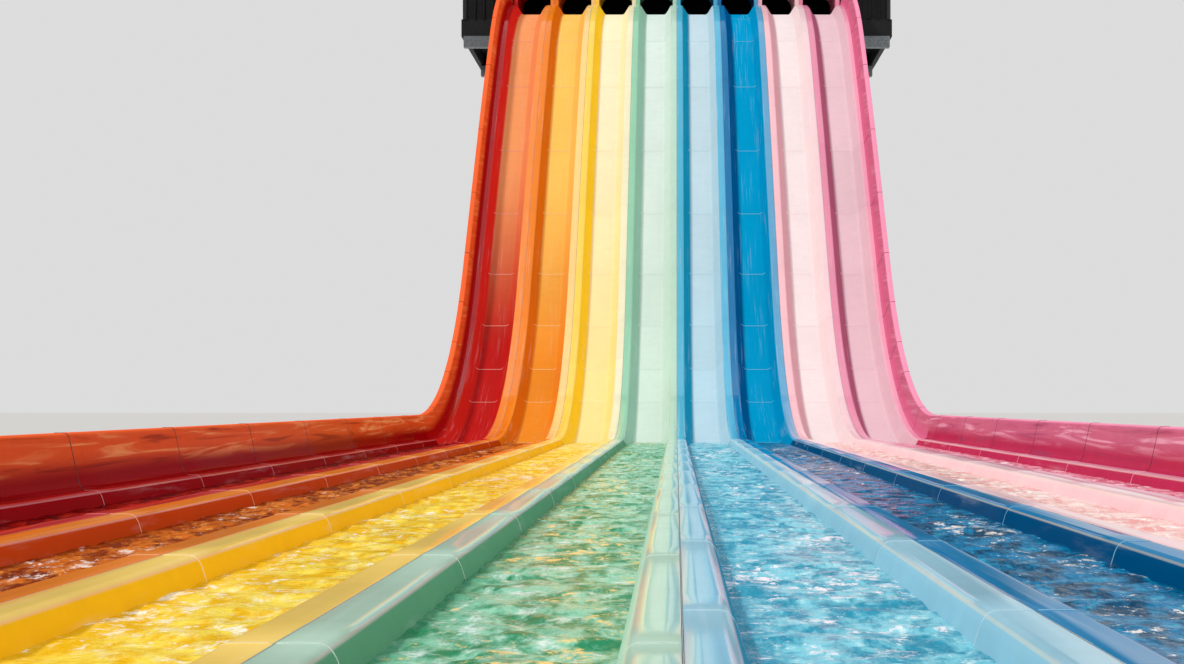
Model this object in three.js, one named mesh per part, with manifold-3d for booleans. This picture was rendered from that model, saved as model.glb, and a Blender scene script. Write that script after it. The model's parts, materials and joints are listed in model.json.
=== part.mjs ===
// Eight-lane mat racing slide with its start house, as an assembly of moulded lanes on a steel frame.
// Millimetres, +Z up. +Y runs from the near end of the runout to the tower, +X to the right.
import * as THREE from "three";
import { mergeVertices } from "three/addons/utils/BufferGeometryUtils.js";
import Module from "manifold-3d";

const wasm = await Module();
wasm.setup();

// Lanes
const PITCH = 900; // centre to centre
const SKIN = 12; // moulding thickness
const GAP = 0.3; // between neighbouring pieces
const CAP_HALF = 126; // half of a divider's flat cap
const SHOULDER = 30; // width and depth of the rounded shoulder beside a cap
const COVE = 40; // height of the rounded foot of a side wall
const COVE_START = 10; // inside the edge of the flat floor
const COVE_END = 14; // outside it
const COVE_BACK = 30; // outside it, on the underside
const FLANGE_DEPTH = 80; // turned-down seam flange
const CHUTE_DEPTH = 200; // cap above lane floor on the slope
const CHUTE_FLOOR_HALF = 194; // flat part of the lane floor
const TROUGH_DEPTH = 320; // cap above lane floor in the runout
const TROUGH_FLOOR_HALF = 212;

// Long profile of the lane floor
const TROUGH_FLOOR = 300; // above ground
const TOE_FLOOR = 420; // lane floor where the slope begins
const RUNOUT_LENGTH = 21830;
const END_WALL = 60;
const FOOT_RADIUS = 7850;
const STEEP = THREE.MathUtils.degToRad(49.4);
const STRAIGHT = 2830;
const BROW_RADIUS = 63300;
const BROW = THREE.MathUtils.degToRad(45.9);
const CREST_RADIUS = 5000;
const CREST = THREE.MathUtils.degToRad(12);
const LEVEL_RADIUS = 2000;
const LEVEL_RUN = 200;

// Guard walls
const GUARD_RISE = 345; // lip above the divider caps
const GUARD_LEAN = 62; // inner face leans out by this much
const LIP_WIDTH = 92;
const LIP_DEPTH = 75;
const LIP_ROLL = 34; // height of the rounded head
const FOOT_WIDTH = 36; // coved foot lying on the outer cap
const FOOT_HEIGHT = 70;

// Start tunnels
const TUNNEL_LENGTH = 1450;
const TUNNEL_HALF = 365; // inside
const TUNNEL_WALL = 560; // height of the upright part
const TUNNEL_HEIGHT = 850;
const COLLAR_TOP = 950;
const COLLAR = 24;

// Start house
const HOUSE_HALF = 4700; // outside
const HOUSE_WALL = 80;
const HOUSE_HEIGHT = 2430; // deck to roof
const HOUSE_DEPTH = 3850;
const ROOF_EDGE = 110;
const ROOF_FALL = 60;
const ROOF_OVERHANG = 60;
const DOOR_WIDTH = 850;
const DOOR_HEIGHT = 2100;
const DOOR_X = [-4155, 4155]; // middles of the two rear doorways

// Steelwork
const DECK_PLATE = 60;
const JOIST_WIDTH = 100;
const PURLIN_DEPTH = 150;
const PURLIN_WIDTH = 100;
const PURLIN_SPACING = 1300;
const SHORT_STRETCH = 870; // only every second one shorter than this carries a purlin
const RAKER_TOP = 120; // below the lane floor
const RAKER_BOTTOM = 400;
const RAKER_WIDTH = 140;
const FRAME_HALF = 3560; // length of purlins, sill and cross beams from the middle
const LADDER_JOINTS = { foot: [0, 3], lower: [3, 5], middle: [5, 7], crest: [7, 12] };
const COLUMN = 200;
const COLUMN_X = [-3300, 0, 3300];
const TIE = 140;
const BRACE = 90;
const DIAGONAL = 64;
const HEAD_BEAM = 240; // depth of a bent's head beam
const LEAST_STOREY = 1200; // lower storeys have no braces
const LOW_TIE = 600;
const BASE_PLATE = 420;
const BASE_THICK = 25;
const SILL_LENGTH = 200;
const SILL_TOP = 240;
const ROWS_FROM_TOE = [2970, 5570, 8070, 10570]; // bents under the slope
const TIE_LEVELS = [3050, 6150];
const REAR_ROW_INSET = 400;
const GROUND_BEAM = 160;
const GROUND_BEAM_X = [-3400, 0, 3400];
const CROSS_BEAM = 120;
const BAYS = 10;

const LANES = {
  red: 0xc8232d,
  orange: 0xf09a28,
  yellow: 0xffd23c,
  green: 0xa0d7af,
  sky: 0x96cde6,
  blue: 0x0096d2,
  blush: 0xf8e4e0,
  pink: 0xf0aac8,
};
const BED_HALF = (Object.keys(LANES).length * PITCH) / 2;
const FRP = { roughness: 0.25, metalness: 0 };
const STEEL = { color: 0x8d9598, roughness: 0.5, metalness: 0.6 };
const CLADDING = { color: 0x1c1d1f, roughness: 0.7, metalness: 0.1 };

const group = new THREE.Group();

function addNode(name, geometry, material) {
  const mesh = new THREE.Mesh(geometry, new THREE.MeshStandardMaterial(material));
  mesh.name = name;
  group.add(mesh);
}

// Carries a closed outline of [x, h] points along stations; h stands square to the path.
function sweep(outline, stations) {
  const contour = outline.map(([x, h]) => new THREE.Vector2(x, h));
  if (THREE.ShapeUtils.isClockWise(contour)) contour.reverse();
  const count = contour.length;
  const positions = stations.flatMap(({ y, z, angle }) =>
    contour.flatMap((p) => [p.x, y - p.y * Math.sin(angle), z + p.y * Math.cos(angle)]),
  );
  const triangles = [];
  for (let s = 0; s + 1 < stations.length; s++) {
    for (let i = 0; i < count; i++) {
      const a = s * count + i;
      const b = s * count + ((i + 1) % count);
      triangles.push(a, b + count, b, a, a + count, b + count);
    }
  }
  const last = (stations.length - 1) * count;
  for (const face of THREE.ShapeUtils.triangulateShape(contour, [])) {
    const turned = THREE.ShapeUtils.area(face.map((i) => contour[i])) < 0;
    const [a, b, c] = turned ? face.slice().reverse() : face;
    triangles.push(a, b, c, last + a, last + c, last + b);
  }
  const geometry = new THREE.BufferGeometry();
  geometry.setAttribute("position", new THREE.BufferAttribute(new Float32Array(positions), 3));
  geometry.setIndex(triangles);
  return geometry;
}

function box(x0, x1, y0, y1, z0, z1) {
  const geometry = new THREE.BoxGeometry(x1 - x0, y1 - y0, z1 - z0);
  return geometry.translate((x0 + x1) / 2, (y0 + y1) / 2, (z0 + z1) / 2);
}

// A square bar of the given thickness between two points.
function bar(from, to, thickness) {
  const start = new THREE.Vector3(...from);
  const along = new THREE.Vector3(...to).sub(start);
  const geometry = new THREE.BoxGeometry(thickness, thickness, along.length());
  geometry.translate(0, 0, along.length() / 2);
  const turn = new THREE.Quaternion();
  turn.setFromUnitVectors(new THREE.Vector3(0, 0, 1), along.clone().normalize());
  return geometry.applyQuaternion(turn).translate(start.x, start.y, start.z);
}

function toSolid(geometry) {
  const plain = geometry.clone();
  plain.deleteAttribute("normal");
  plain.deleteAttribute("uv");
  const merged = mergeVertices(plain, 1e-3);
  return new wasm.Manifold(
    new wasm.Mesh({
      numProp: 3,
      vertProperties: merged.attributes.position.array,
      triVerts: new Uint32Array(merged.index.array),
    }),
  );
}

function fromSolid(solid) {
  const { vertProperties, triVerts } = solid.getMesh();
  const geometry = new THREE.BufferGeometry();
  geometry.setAttribute("position", new THREE.BufferAttribute(vertProperties, 3));
  geometry.setIndex(new THREE.BufferAttribute(triVerts, 1));
  return geometry;
}

function join(geometries, cutters = []) {
  const whole = geometries.map(toSolid).reduce((a, b) => a.add(b));
  return fromSolid(cutters.map(toSolid).reduce((a, b) => a.subtract(b), whole));
}

// Long profile: stations of the lane floor from the toe to the start tunnels.
const slopeRun =
  FOOT_RADIUS * Math.sin(STEEP) +
  STRAIGHT * Math.cos(STEEP) +
  BROW_RADIUS * (Math.sin(STEEP) - Math.sin(BROW)) +
  CREST_RADIUS * (Math.sin(BROW) - Math.sin(CREST)) +
  LEVEL_RADIUS * Math.sin(CREST) +
  LEVEL_RUN;
const planLength = RUNOUT_LENGTH + slopeRun + HOUSE_DEPTH + ROOF_OVERHANG;
const nearY = -planLength / 2;
const toeY = nearY + RUNOUT_LENGTH;

function slopeStations(footSteps, browSteps, crestSteps, levelSteps) {
  const stations = [{ y: toeY, z: TOE_FLOOR, angle: 0 }];
  const arc = (radius, from, to, steps) => {
    const { y, z } = stations.at(-1);
    const sign = to > from ? 1 : -1;
    for (let i = 1; i <= steps; i++) {
      const angle = from + ((to - from) * i) / steps;
      stations.push({
        y: y + sign * radius * (Math.sin(angle) - Math.sin(from)),
        z: z - sign * radius * (Math.cos(angle) - Math.cos(from)),
        angle,
      });
    }
  };
  const straight = (length, angle) => {
    const { y, z } = stations.at(-1);
    stations.push({ y: y + length * Math.cos(angle), z: z + length * Math.sin(angle), angle });
  };
  arc(FOOT_RADIUS, 0, STEEP, footSteps);
  straight(STRAIGHT, STEEP);
  arc(BROW_RADIUS, STEEP, BROW, browSteps);
  arc(CREST_RADIUS, BROW, CREST, crestSteps);
  arc(LEVEL_RADIUS, CREST, 0, levelSteps);
  straight(LEVEL_RUN, 0);
  return stations;
}

const FOOT_STEPS = 9;
const slope = slopeStations(FOOT_STEPS, 2, 5, 1);
// The same stations with the first one moved on by the gap between neighbouring pieces.
function pastJoint([{ y, z, angle }, ...rest]) {
  return [{ y: y + GAP * Math.cos(angle), z: z + GAP * Math.sin(angle), angle }, ...rest];
}

const startY = slope.at(-1).y;
const startFloor = slope.at(-1).z;
const deckTop = startFloor - SKIN - GAP;
const deckBottom = startFloor - RAKER_BOTTOM;
const rearY = startY + HOUSE_DEPTH;

// Right half of a lane's upper surface, from the seam to the edge of the flat floor.
function laneHalf(depth, floorHalf) {
  const seam = PITCH / 2 - GAP / 2;
  const capEdge = PITCH / 2 - CAP_HALF;
  const lean = (capEdge - SHOULDER - floorHalf) / (depth - SHOULDER);
  return [
    [seam, depth],
    [capEdge + SHOULDER, depth],
    [capEdge + SHOULDER * 0.3, depth - SHOULDER * 0.3],
    [capEdge - SHOULDER * 0.4, depth - SHOULDER],
    [floorHalf + COVE_END + lean * COVE, COVE],
    [floorHalf - COVE_START, 0],
  ];
}

// Right half of the underside, from the seam flange's foot to the edge of the flat floor.
function underHalf(depth, floorHalf) {
  const seam = PITCH / 2 - GAP / 2;
  const capEdge = PITCH / 2 - CAP_HALF;
  return [
    [seam, depth - FLANGE_DEPTH],
    [seam - SKIN, depth - FLANGE_DEPTH],
    [seam - SKIN, depth - SKIN],
    [capEdge + SHOULDER, depth - SKIN],
    [capEdge + SHOULDER * 0.4, depth - SHOULDER - SKIN],
    [floorHalf + COVE_BACK, COVE / 2 - SKIN],
    [floorHalf, -SKIN],
  ];
}

// The closed outline of a lane: upper skin, seam flanges and underside.
function laneOutline(depth, floorHalf) {
  const mirrored = (points) => points.map(([x, h]) => [-x, h]);
  const upper = laneHalf(depth, floorHalf);
  const under = underHalf(depth, floorHalf);
  return [
    ...mirrored(upper),
    ...upper.slice().reverse(),
    ...under,
    ...mirrored(under).reverse(),
  ];
}

// A guard wall beside the outer lane; h is counted from the lane floor.
function guardOutline(side, depth) {
  const face = BED_HALF + GAP / 2;
  const top = depth + GUARD_RISE;
  const head = face + GUARD_LEAN;
  const lip = head + LIP_WIDTH - SKIN;
  const outline = [
    [face, depth - FLANGE_DEPTH],
    [face, depth + GAP],
    [face - FOOT_WIDTH, depth + GAP],
    [face - FOOT_WIDTH, depth + SKIN / 2],
    [face - FOOT_WIDTH / 3, depth + FOOT_HEIGHT / 3],
    [face + SKIN / 3, depth + FOOT_HEIGHT],
    [head - LIP_ROLL / 4, top - LIP_ROLL],
    [head + LIP_ROLL * 0.1, top - LIP_ROLL * 0.3],
    [head + LIP_ROLL * 0.7, top],
    [lip + SKIN, top],
    [lip + SKIN, top - LIP_DEPTH],
    [lip, top - LIP_DEPTH],
    [lip, top - SKIN],
    [head + LIP_ROLL * 0.76, top - SKIN],
    [head + LIP_ROLL * 0.4, top - LIP_ROLL * 0.53],
    [head + LIP_ROLL * 0.1, top - LIP_ROLL],
    [face + SKIN * 1.3, depth + FOOT_HEIGHT],
    [face + SKIN, depth],
    [face + SKIN, depth - FLANGE_DEPTH],
  ];
  return outline.map(([x, h]) => [side * x, h]);
}

const shifted = (outline, x) => outline.map(([px, h]) => [px + x, h]);

const level = (y, z) => ({ y, z, angle: 0 });
const runoutStations = [
  level(nearY + END_WALL + GAP, TROUGH_FLOOR),
  level(toeY - GAP, TROUGH_FLOOR),
];

// The riser that closes a trough under the toe of the slope.
function riser(x) {
  const height = TOE_FLOOR - TROUGH_FLOOR - SKIN - GAP;
  const reach = TROUGH_FLOOR_HALF + COVE;
  const foot = TROUGH_FLOOR - SKIN / 2;
  return box(x - reach, x + reach, toeY - SKIN, toeY - GAP, foot, TROUGH_FLOOR + height);
}

// Arched outline of a tunnel, from the floor up one side and down the other.
function arch(half, wall, top, floor) {
  const steps = 6;
  const points = [[half, floor]];
  for (let i = 0; i <= steps; i++) {
    const turn = (Math.PI * i) / steps;
    points.push([half * Math.cos(turn), wall + (top - wall) * Math.sin(turn)]);
  }
  points.push([-half, floor]);
  return points;
}

function tunnelSlice(outer, y0, y1) {
  const shape = new THREE.Shape(outer.map(([x, h]) => new THREE.Vector2(x, h)));
  const inner = arch(TUNNEL_HALF, TUNNEL_WALL, TUNNEL_HEIGHT, 0);
  shape.holes.push(new THREE.Path(inner.map(([x, h]) => new THREE.Vector2(x, h)).reverse()));
  const geometry = new THREE.ExtrudeGeometry(shape, { depth: y1 - y0, bevelEnabled: false });
  return geometry.rotateX(Math.PI / 2).translate(0, y1, startFloor);
}

function tunnel(x) {
  const skin = arch(TUNNEL_HALF + SKIN, TUNNEL_WALL, TUNNEL_HEIGHT + SKIN, -SKIN);
  const half = PITCH / 2 - GAP / 2;
  const collar = arch(half, TUNNEL_WALL, COLLAR_TOP, -SKIN);
  const front = startY + GAP;
  const rear = front + TUNNEL_LENGTH;
  const geometry = join([
    tunnelSlice(skin, front, rear),
    tunnelSlice(collar, front, front + COLLAR),
    tunnelSlice(collar, rear - COLLAR, rear),
  ]);
  return geometry.translate(x, 0, 0);
}

Object.entries(LANES).forEach(([name, color], i) => {
  const x = (i + 0.5) * PITCH - BED_HALF;
  const chute = shifted(laneOutline(CHUTE_DEPTH, CHUTE_FLOOR_HALF), x);
  const trough = shifted(laneOutline(TROUGH_DEPTH, TROUGH_FLOOR_HALF), x);
  addNode(`foot_${name}`, sweep(chute, slope.slice(0, FOOT_STEPS + 1)), { color, ...FRP });
  addNode(`chute_${name}`, sweep(chute, pastJoint(slope.slice(FOOT_STEPS))), { color, ...FRP });
  addNode(`runout_${name}`, join([sweep(trough, runoutStations), riser(x)]), { color, ...FRP });
  addNode(`tunnel_${name}`, tunnel(x), { color, ...FRP });
});

for (const [side, end, color] of [[-1, "left", LANES.red], [1, "right", 0xf58caf]]) {
  const runout = runoutStations.map(({ y, z }) => level(y, z));
  addNode(`guard_slope_${end}`, sweep(guardOutline(side, CHUTE_DEPTH), slope), { color, ...FRP });
  addNode(`guard_runout_${end}`, sweep(guardOutline(side, TROUGH_DEPTH), runout), { color, ...FRP });
}

const endHalf = BED_HALF + GUARD_LEAN + LIP_WIDTH;
const capLevel = TROUGH_FLOOR + TROUGH_DEPTH;
addNode(
  "runout_end_wall",
  box(-endHalf, endHalf, nearY, nearY + END_WALL, 0, capLevel),
  { color: 0xe8eef0, ...FRP },
);

// Steel under the runout: ground beams with a cross beam at each bay joint.
function runoutFrame() {
  const beamTop = TROUGH_FLOOR - SKIN - GAP;
  const from = nearY + END_WALL + GAP;
  const to = toeY - GAP;
  const pieces = GROUND_BEAM_X.map((x) =>
    box(x - TIE / 2, x + TIE / 2, from, to, 0, GROUND_BEAM),
  );
  for (let i = 0; i <= BAYS; i++) {
    const y = from + ((to - from - CROSS_BEAM) * i) / BAYS;
    pieces.push(box(-FRAME_HALF, FRAME_HALF, y, y + CROSS_BEAM, GROUND_BEAM - SKIN, beamTop));
  }
  return join(pieces);
}

// Rakers and purlins under the slope, in ladders bolted end to end between joints of this line.
const coarse = slopeStations(5, 1, 3, 1);

// Purlins lie under the middle of every second short stretch and are spaced along the long ones.
function purlinSpots() {
  return slope.slice(1).flatMap((end, i) => {
    const start = slope[i];
    const length = Math.hypot(end.y - start.y, end.z - start.z);
    const angle = Math.atan2(end.z - start.z, end.y - start.y);
    const count = length < SHORT_STRETCH ? (i + 1) % 2 : Math.round(length / PURLIN_SPACING);
    return Array.from({ length: count }, (_, k) => {
      const t = (k + 0.5) / count;
      return { y: start.y + t * (end.y - start.y), z: start.z + t * (end.z - start.z), angle };
    });
  });
}

function ladder(first, last) {
  const stations = pastJoint(coarse.slice(first, last + 1));
  const half = RAKER_WIDTH / 2;
  const pieces = COLUMN_X.map((x) =>
    sweep(
      [
        [x - half, -RAKER_TOP],
        [x - half, -RAKER_BOTTOM],
        [x + half, -RAKER_BOTTOM],
        [x + half, -RAKER_TOP],
      ],
      stations,
    ),
  );
  const purlin = [
    [-FRAME_HALF, -SKIN - GAP],
    [-FRAME_HALF, -SKIN - GAP - PURLIN_DEPTH],
    [FRAME_HALF, -SKIN - GAP - PURLIN_DEPTH],
    [FRAME_HALF, -SKIN - GAP],
  ];
  for (const spot of purlinSpots()) {
    if (spot.y < stations[0].y || spot.y > stations.at(-1).y) continue;
    const at = (d) => ({
      y: spot.y + d * Math.cos(spot.angle),
      z: spot.z + d * Math.sin(spot.angle),
      angle: spot.angle,
    });
    pieces.push(sweep(purlin, [at(-PURLIN_WIDTH / 2), at(PURLIN_WIDTH / 2)]));
  }
  if (first === 0) {
    pieces.push(box(-FRAME_HALF, FRAME_HALF, toeY + GAP, toeY + SILL_LENGTH, 0, SILL_TOP));
  }
  return join(pieces);
}

// Everything above the rakers' underside, which the column heads are cut to.
function aboveRakers() {
  const outline = [
    [-HOUSE_HALF, -RAKER_BOTTOM - GAP],
    [HOUSE_HALF, -RAKER_BOTTOM - GAP],
    [HOUSE_HALF, LEAST_STOREY],
    [-HOUSE_HALF, LEAST_STOREY],
  ];
  return sweep(outline, coarse);
}

function rakerBottomAt(y) {
  const line = coarse.map(({ y: py, z, angle }) => ({
    y: py + RAKER_BOTTOM * Math.sin(angle),
    z: z - RAKER_BOTTOM * Math.cos(angle),
  }));
  const next = line.findIndex((point) => point.y >= y);
  const [a, b] = [line[next - 1], line[next]];
  return a.z + ((b.z - a.z) * (y - a.y)) / (b.y - a.y);
}

// A bent of three columns with ties, braces and base plates, across the slide at y.
function bent(y, columnTop, beamTop, beamHalf, cutters) {
  const half = COLUMN / 2;
  const pieces = [];
  for (const x of COLUMN_X) {
    pieces.push(box(x - half, x + half, y - half, y + half, 0, columnTop));
    const plate = BASE_PLATE / 2;
    pieces.push(box(x - plate, x + plate, y - plate, y + plate, 0, BASE_THICK));
  }
  const levels = TIE_LEVELS.filter((z) => z < beamTop - LEAST_STOREY);
  for (const z of levels) {
    pieces.push(box(COLUMN_X[0], COLUMN_X[2], y - TIE / 2, y + TIE / 2, z - TIE, z));
  }
  pieces.push(box(-beamHalf, beamHalf, y - half, y + half, beamTop - HEAD_BEAM, beamTop));
  const stops = [BASE_THICK, ...levels, beamTop - HEAD_BEAM / 2];
  for (let i = 0; i + 1 < stops.length; i++) {
    if (stops[i + 1] - stops[i] < LEAST_STOREY) continue;
    for (const side of [-1, 1]) {
      const [inner, outer] = i % 2 ? [stops[i + 1], stops[i]] : [stops[i], stops[i + 1]];
      pieces.push(bar([0, y, inner], [side * COLUMN_X[2], y, outer - BRACE / 2], BRACE));
    }
  }
  return join(pieces, cutters);
}

addNode("runout_frame", runoutFrame(), STEEL);
for (const [name, [first, last]] of Object.entries(LADDER_JOINTS)) {
  addNode(`slope_frame_${name}`, ladder(first, last), STEEL);
}

const rowY = ROWS_FROM_TOE.map((distance) => toeY + distance);
rowY.forEach((y, i) => {
  const low = rakerBottomAt(y - COLUMN / 2);
  const top = rakerBottomAt(y + COLUMN / 2) + COLUMN;
  addNode(`bent_${i + 1}`, bent(y, top, low - SKIN, COLUMN_X[2], [aboveRakers()]), STEEL);
});
const rearRow = rearY - REAR_ROW_INSET;
[startY, rearRow].forEach((y, i) => {
  const top = deckBottom - GAP;
  addNode(`bent_${rowY.length + i + 1}`, bent(y, top, top, HOUSE_HALF, []), STEEL);
});

// Side bracing: ties and diagonals bolted to the outer faces of the columns.
function sideBracing(side) {
  const x = side * (COLUMN_X[2] + COLUMN / 2 + GAP + BRACE / 2);
  const rows = [...rowY.slice(1), startY, rearRow];
  const pieces = [];
  const tie = (y0, y1, z) =>
    box(x - BRACE / 2, x + BRACE / 2, y0 - COLUMN / 2, y1 + COLUMN / 2, z - BRACE, z);
  pieces.push(tie(rowY[0], rearRow, LOW_TIE));
  pieces.push(tie(rowY[2], rearRow, TIE_LEVELS[0]));
  pieces.push(tie(rowY[3], rearRow, TIE_LEVELS[1]));
  const [low, middle, high] = [LOW_TIE, ...TIE_LEVELS].map((z) => z - BRACE / 2);
  const diagonals = [
    [rows[0], low, rows[1], middle],
    [rows[1], low, rows[2], middle],
    [rows[2], middle, rows[3], high],
    [rows[3], middle, rows[4], low],
    [rows[3], middle, rows[4], high],
  ];
  for (const [y0, z0, y1, z1] of diagonals) {
    pieces.push(bar([x, y0, z0], [x, y1, z1], DIAGONAL));
  }
  return join(pieces);
}

addNode("side_bracing_left", sideBracing(-1), STEEL);
addNode("side_bracing_right", sideBracing(1), STEEL);

// Deck of the start house: plate, edge skirt and joists.
function deck() {
  const y0 = startY + GAP;
  const half = HOUSE_HALF + ROOF_OVERHANG;
  const plateBottom = deckTop - DECK_PLATE;
  const pieces = [box(-half, half, y0, rearY, plateBottom, deckTop)];
  const joistXs = [-half + JOIST_WIDTH / 2, ...COLUMN_X, half - JOIST_WIDTH / 2];
  for (const x of joistXs) {
    pieces.push(box(x - JOIST_WIDTH / 2, x + JOIST_WIDTH / 2, y0, rearY, deckBottom, deckTop - SKIN));
  }
  for (const y of [y0, rearY - JOIST_WIDTH]) {
    pieces.push(box(-half, half, y, y + JOIST_WIDTH, deckBottom, deckTop - SKIN));
  }
  return join(pieces);
}

addNode("start_deck", deck(), STEEL);

// Start house: clad walls on the deck, open to the tunnels in front and to two doorways behind.
const wallFoot = deckTop + GAP;
const wallHead = deckTop + HOUSE_HEIGHT;
const wallFront = startY + GAP;

function sideWall(side) {
  const outer = side * HOUSE_HALF;
  const inner = side * (HOUSE_HALF - HOUSE_WALL);
  const jamb = side * (BED_HALF + GAP);
  const [x0, x1] = [outer, inner].sort((a, b) => a - b);
  const [j0, j1] = [outer, jamb].sort((a, b) => a - b);
  return join([
    box(x0, x1, wallFront, rearY - HOUSE_WALL - GAP, wallFoot, wallHead),
    box(j0, j1, wallFront, wallFront + HOUSE_WALL, wallFoot, wallHead),
  ]);
}

addNode("start_house_wall_left", sideWall(-1), CLADDING);
addNode("start_house_wall_right", sideWall(1), CLADDING);

const lintelFoot = startFloor + COLLAR_TOP + GAP;
addNode(
  "start_house_lintel",
  box(-BED_HALF, BED_HALF, wallFront, wallFront + HOUSE_WALL, lintelFoot, wallHead),
  CLADDING,
);

const doorHead = wallFoot + DOOR_HEIGHT;
function doorway(x) {
  const half = DOOR_WIDTH / 2;
  return box(x - half, x + half, rearY - 2 * HOUSE_WALL, rearY + HOUSE_WALL, deckBottom, doorHead);
}

addNode(
  "start_house_rear_wall",
  join(
    [box(-HOUSE_HALF, HOUSE_HALF, rearY - HOUSE_WALL, rearY, wallFoot, wallHead)],
    DOOR_X.map(doorway),
  ),
  CLADDING,
);

// Roof with a slight fall to the rear.
function roof() {
  const foot = wallHead + GAP;
  const y0 = startY - ROOF_OVERHANG;
  const y1 = rearY + ROOF_OVERHANG;
  const half = HOUSE_HALF + ROOF_OVERHANG;
  const section = new THREE.Shape([
    new THREE.Vector2(y0, foot),
    new THREE.Vector2(y1, foot),
    new THREE.Vector2(y1, foot + ROOF_EDGE),
    new THREE.Vector2(y0, foot + ROOF_EDGE + ROOF_FALL),
  ]);
  const geometry = new THREE.ExtrudeGeometry(section, { depth: 2 * half, bevelEnabled: false });
  return geometry
    .rotateX(Math.PI / 2)
    .rotateZ(Math.PI / 2)
    .translate(-half, 0, 0);
}

addNode("start_house_roof", roof(), CLADDING);

export default group;
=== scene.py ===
import json
import math
import bpy
import numpy as np
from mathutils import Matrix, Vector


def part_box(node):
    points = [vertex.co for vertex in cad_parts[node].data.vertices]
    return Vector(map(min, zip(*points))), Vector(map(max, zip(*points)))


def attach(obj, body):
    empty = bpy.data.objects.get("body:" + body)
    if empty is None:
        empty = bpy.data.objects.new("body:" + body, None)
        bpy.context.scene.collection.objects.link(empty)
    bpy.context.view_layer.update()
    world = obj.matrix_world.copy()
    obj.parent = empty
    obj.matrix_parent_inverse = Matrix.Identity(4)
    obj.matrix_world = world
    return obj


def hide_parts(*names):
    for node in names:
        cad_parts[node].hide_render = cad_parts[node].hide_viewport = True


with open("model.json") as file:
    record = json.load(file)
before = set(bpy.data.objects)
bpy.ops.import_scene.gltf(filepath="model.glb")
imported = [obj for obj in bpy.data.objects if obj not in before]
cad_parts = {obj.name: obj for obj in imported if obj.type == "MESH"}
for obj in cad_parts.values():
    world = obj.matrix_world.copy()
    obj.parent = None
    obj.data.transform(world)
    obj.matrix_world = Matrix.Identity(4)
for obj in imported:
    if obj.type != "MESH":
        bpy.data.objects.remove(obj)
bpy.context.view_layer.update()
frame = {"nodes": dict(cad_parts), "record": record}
nodes = frame["nodes"]
print("frame loaded:", len(nodes), "parts")

laneNames = ["red", "orange", "yellow", "green", "sky", "blue", "blush", "pink"]
halfLanes = len(laneNames) / 2
ends = ((-1, "left"), (1, "right"))  # sides of the slide, by the sign of x

lane = {
    "pitch": 0.9,
    "skin": 0.012,
    "seamGap": 0.0012,  # half of the open joint between neighbouring lanes
    "capEdge": 0.324,
    "shoulder": 0.030,
    "flange": 0.080,
    "troughFloor": 0.300,
    "toeFloor": 0.420,
}
sections = {
    "slope": {"depth": 0.200, "floorHalf": 0.194},
    "runout": {"depth": 0.320, "floorHalf": 0.212},
}
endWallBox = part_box("runout_end_wall")
nearY = endWallBox[1][1] + 0.0003
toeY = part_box("foot_red")[0][1]
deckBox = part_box("start_deck")
startY = deckBox[0][1]
startFloor = deckBox[1][2] + 0.0123
outerFace = halfLanes * lane["pitch"]

# long profile of the lane floor: (radius, angle before, angle after), or (0, angle, length)
profile = [
    (7.85, 0.0, 49.4),
    (0.0, 49.4, 2.83),
    (63.3, 49.4, 45.9),
    (5.0, 45.9, 12.0),
    (2.0, 12.0, 0.0),
    (0.0, 0.0, 0.2),
]
footRadius = profile[0][0]


def laneX(index):
    return (index - halfLanes + 0.5) * lane["pitch"]


def seamX(seam):
    return laneX(seam) - lane["pitch"] / 2


# y, z and angle of the lane floor at distance s up from the toe
def pathAt(s):
    y, z, angle = toeY, lane["toeFloor"], 0.0
    for radius, before, after in profile:
        start = math.radians(before)
        if radius == 0.0:
            step = min(s, after)
            y, z, angle = y + step * math.cos(start), z + step * math.sin(start), start
            s -= after
        else:
            bend = 1 if after > before else -1
            whole = radius * abs(math.radians(after) - start)
            angle = start + bend * min(s, whole) / radius
            y += bend * radius * (math.sin(angle) - math.sin(start))
            z -= bend * radius * (math.cos(angle) - math.cos(start))
            s -= whole
        if s <= 0:
            break
    return y, z, angle


slopeLength = sum(
    radius * abs(math.radians(after - before)) if radius else after for radius, before, after in profile
)


def addMesh(name, points, faces, uvs=None, sharpAbove=38.0):
    mesh = bpy.data.meshes.new(name)
    mesh.from_pydata([tuple(p) for p in points], [], faces)
    if uvs is not None:
        layer = mesh.uv_layers.new(name="across")
        corners = np.zeros(len(mesh.loops), dtype=np.int32)
        mesh.loops.foreach_get("vertex_index", corners)
        layer.data.foreach_set("uv", np.asarray(uvs, dtype=np.float32)[corners].ravel())
    mesh.polygons.foreach_set("use_smooth", [True] * len(mesh.polygons))
    mesh.set_sharp_from_angle(angle=math.radians(sharpAbove))
    mesh.validate()
    return addPiece(name, mesh)


def addPiece(name, data):
    piece = bpy.data.objects.new(name, data)
    bpy.context.scene.collection.objects.link(piece)
    return piece


def bezier(start, control, end, count):
    points = []
    for i in range(count + 1):
        t = i / count
        points.append(
            tuple((1 - t) ** 2 * a + 2 * t * (1 - t) * b + t * t * c for a, b, c in zip(start, control, end))
        )
    return points


def areaOf(ring):
    return sum(a[0] * b[1] - b[0] * a[1] for a, b in zip(ring, ring[1:] + ring[:1]))


# faces between neighbouring rings of count points each
def ringFaces(rings, count):
    faces = []
    for k in range(rings - 1):
        for i in range(count):
            a, b = k * count + i, k * count + (i + 1) % count
            faces.append((a, b, b + count, a + count))
    return faces


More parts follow.
